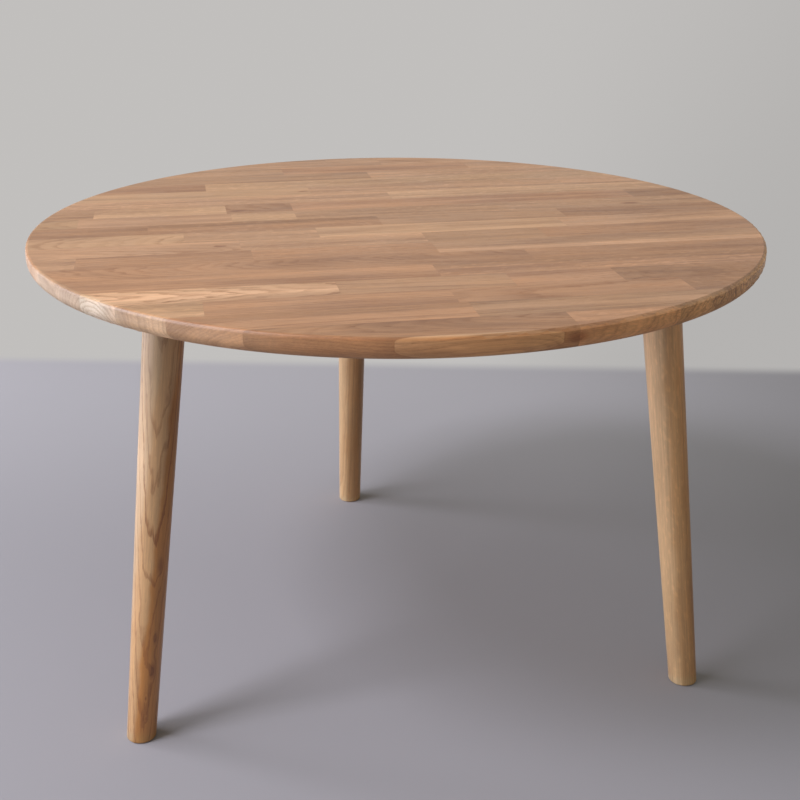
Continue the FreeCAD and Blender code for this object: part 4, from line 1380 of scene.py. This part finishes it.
@dataclass
class Studio:
    """The floor, the lamps, the sky and the camera.

    A slope is two places in metres, and how light the floor is at them.

    Args:
        floor_colour: the colour of the floor near the table.
        worn_colour: the colour of its faint darker patches.
        worn_most: how much of that colour they have.
        far_colour: the colour that the floor pales to.
        floor_size: how wide the floor is, in metres.
        floor_height: how high it lies, just clear of the feet, in metres.
        wall_heading: the direction in which the floor pales first, in degrees.
        near_edge: how far that way it starts and ends to pale, in metres.
        far_edge: how far it does so on the other sides, in metres.
        ahead_slope: how the floor lightens towards the wall, as painted light.
        left_slopes: how it darkens to the left, near the table and further off, as painted shade.
        right_slope: how it darkens to the right, as painted shade.
        wall_slope: how the far floor darkens to the right in painted shade, by the sine of the way there.
        sky_light: how strongly the sky lights the table.
        sky_colour: the colour of its light.
        lamps: the lamps.
        viewpoint: where the camera stands.
    """

    floor_colour: Colour = (0.336, 0.327, 0.340)
    worn_colour: Colour = (0.275, 0.27, 0.285)
    worn_most: float = 0.06
    far_colour: Colour = (0.535, 0.522, 0.510)
    floor_size: float = 60.0
    floor_height: float = -0.0002
    wall_heading: float = 77.3
    near_edge: Span = (0.70, 0.745)
    far_edge: Span = (1.3, 2.6)
    ahead_slope: Slope = (0.05, 0.75, 1.0, 1.30)
    left_slopes: tuple[Slope, Slope] = ((-0.7, 0.0, 0.93, 1.0), (-1.9, -0.8, 0.3, 1.0))
    right_slope: Slope = (0.1, 0.9, 1.0, 0.72)
    wall_slope: Slope = (0.05, 0.45, 1.0, 0.86)
    sky_light: float = 0.37
    sky_colour: Colour = (1.0, 0.99, 0.88)
    lamps: tuple[Lamp, ...] = (
        Lamp("window_light", (-1.806, -0.603, 2.52), 0.75, 0.75, 43.0),
        Lamp("low_light", (-2.3, -0.1, 0.95), 3.0, 1.3, 76.0),
        Lamp("side_light", (-2.0, 0.85, 0.45), 0.45, 0.8, 12.0),
    )
    viewpoint: Viewpoint = Viewpoint()

    def build(self) -> None:
        """Sets up the studio."""
        scene = bpy.context.scene
        scene.view_settings.view_transform = "Standard"
        self.floor()
        self.sky(scene)
        for lamp in self.lamps:
            lamp.hang()
        self.viewpoint.stand(scene)

    def floor(self) -> None:
        """Lays the floor, which is clear from below."""
        bpy.ops.object.select_all(action="DESELECT")
        bpy.ops.mesh.primitive_plane_add(size=self.floor_size, location=(0.0, 0.0, self.floor_height))
        floor = bpy.context.object
        floor.name = "studio_floor"
        material, bench = new_finish("studio_floor")
        place = bench.node("TexCoord").outputs["Object"]
        worn = bench.patches(place, Cloud.MOTTLE, 0.0, self.worn_most)
        colour = bench.mix(worn, self.floor_colour, self.worn_colour)
        # Painted light and shade on the floor: lighter towards the wall, darker to its sides.
        near = bench.node("BsdfDiffuse", {"Color": bench.scale(colour, self.floor_light(bench, place))})
        far = bench.node("Emission", {"Color": self.wall_colour(bench, place), "Strength": 1.0})
        shown = bench.times(self.paling(bench, place), self.seen(bench))
        both = bench.node("MixShader", {0: shown, 1: near.outputs[0], 2: far.outputs[0]})
        below = bench.node("NewGeometry").outputs["Backfacing"]
        clear = bench.node("BsdfTransparent")
        floor_seen = bench.node("MixShader", {0: below, 1: both.outputs[0], 2: clear.outputs[0]})
        bench.node("OutputMaterial", {"Surface": floor_seen.outputs[0]})
        floor.data.materials.append(material)

    def wall_ways(self) -> tuple[Point, Point]:
        """Gives the direction in which the floor pales first, and the one to the right of it."""
        heading = math.radians(self.wall_heading)
        return (math.cos(heading), math.sin(heading), 0.0), (math.sin(heading), -math.cos(heading), 0.0)

    def floor_light(self, bench: Bench, place: Feed) -> Feed:
        """Says how painted light lightens the floor towards the wall and painted shade darkens it to its
        sides.

        Args:
            bench: the material's nodes.
            place: the place on the floor.

        Returns:
            What its colour is multiplied by.
        """
        ahead, aside = (bench.measure("DOT_PRODUCT", place, way) for way in self.wall_ways())
        left = bench.times(*(bench.fade(aside, *slope) for slope in self.left_slopes))
        return bench.times(bench.fade(ahead, *self.ahead_slope), left, bench.fade(aside, *self.right_slope))

    def wall_colour(self, bench: Bench, place: Feed) -> Socket:
        """Gives the colour of the far floor, which darkens to the right in painted shade.

        Args:
            bench: the material's nodes.
            place: the place on the floor, or the way to it.

        Returns:
            The colour.
        """
        level = bench.vector("NORMALIZE", bench.vector("MULTIPLY", place, (1.0, 1.0, 0.0)))
        aside = bench.measure("DOT_PRODUCT", level, self.wall_ways()[1])
        return bench.scale(self.far_colour, bench.fade(aside, *self.wall_slope))

    def paling(self, bench: Bench, place: Feed) -> Socket:
        """Says how much the floor has paled.

        Args:
            bench: the material's nodes.
            place: the place on the floor.

        Returns:
            How much, from 0 to 1.
        """
        ahead, aside = (bench.measure("DOT_PRODUCT", place, way) for way in self.wall_ways())
        other = bench.math("MAXIMUM", bench.math("ABSOLUTE", aside), bench.times(ahead, -1.0))
        return bench.math("MAXIMUM", bench.fade(ahead, *self.near_edge), bench.fade(other, *self.far_edge))

    def seen(self, bench: Bench) -> Socket:
        """Says whether a ray comes from the camera, or by a mirror or glass."""
        path = bench.node("LightPath")
        direct = bench.math("MAXIMUM", path.outputs["Is Camera Ray"], path.outputs["Is Glossy Ray"])
        return bench.math("MAXIMUM", direct, path.outputs["Is Transmission Ray"])

    def sky(self, scene: bpy.types.Scene) -> None:
        """Lights the scene evenly from all round, and shows the far floor's colour beyond it.

        Args:
            scene: the scene.
        """
        scene.world = bpy.data.worlds.new("studio_sky")
        scene.world.use_nodes = True
        bench = Bench(scene.world.node_tree)
        light = bench.node("Background", {"Color": self.sky_colour, "Strength": self.sky_light})
        way = bench.node("TexCoord").outputs["Generated"]
        shown = bench.node("Background", {"Color": self.wall_colour(bench, way), "Strength": 1.0})
        both = bench.node("MixShader", {0: self.seen(bench), 1: light.outputs[0], 2: shown.outputs[0]})
        bench.node("OutputWorld", {"Surface": both.outputs[0]})


def main() -> None:
    """Builds the table's looks, piece by piece."""
    logging.basicConfig(level=logging.INFO, format="%(message)s")
    Studio().build()
    TableTop().build()
    for leg in LEGS:
        leg.build()
    HingeFittings().build()


if __name__ == "__main__":
    main()
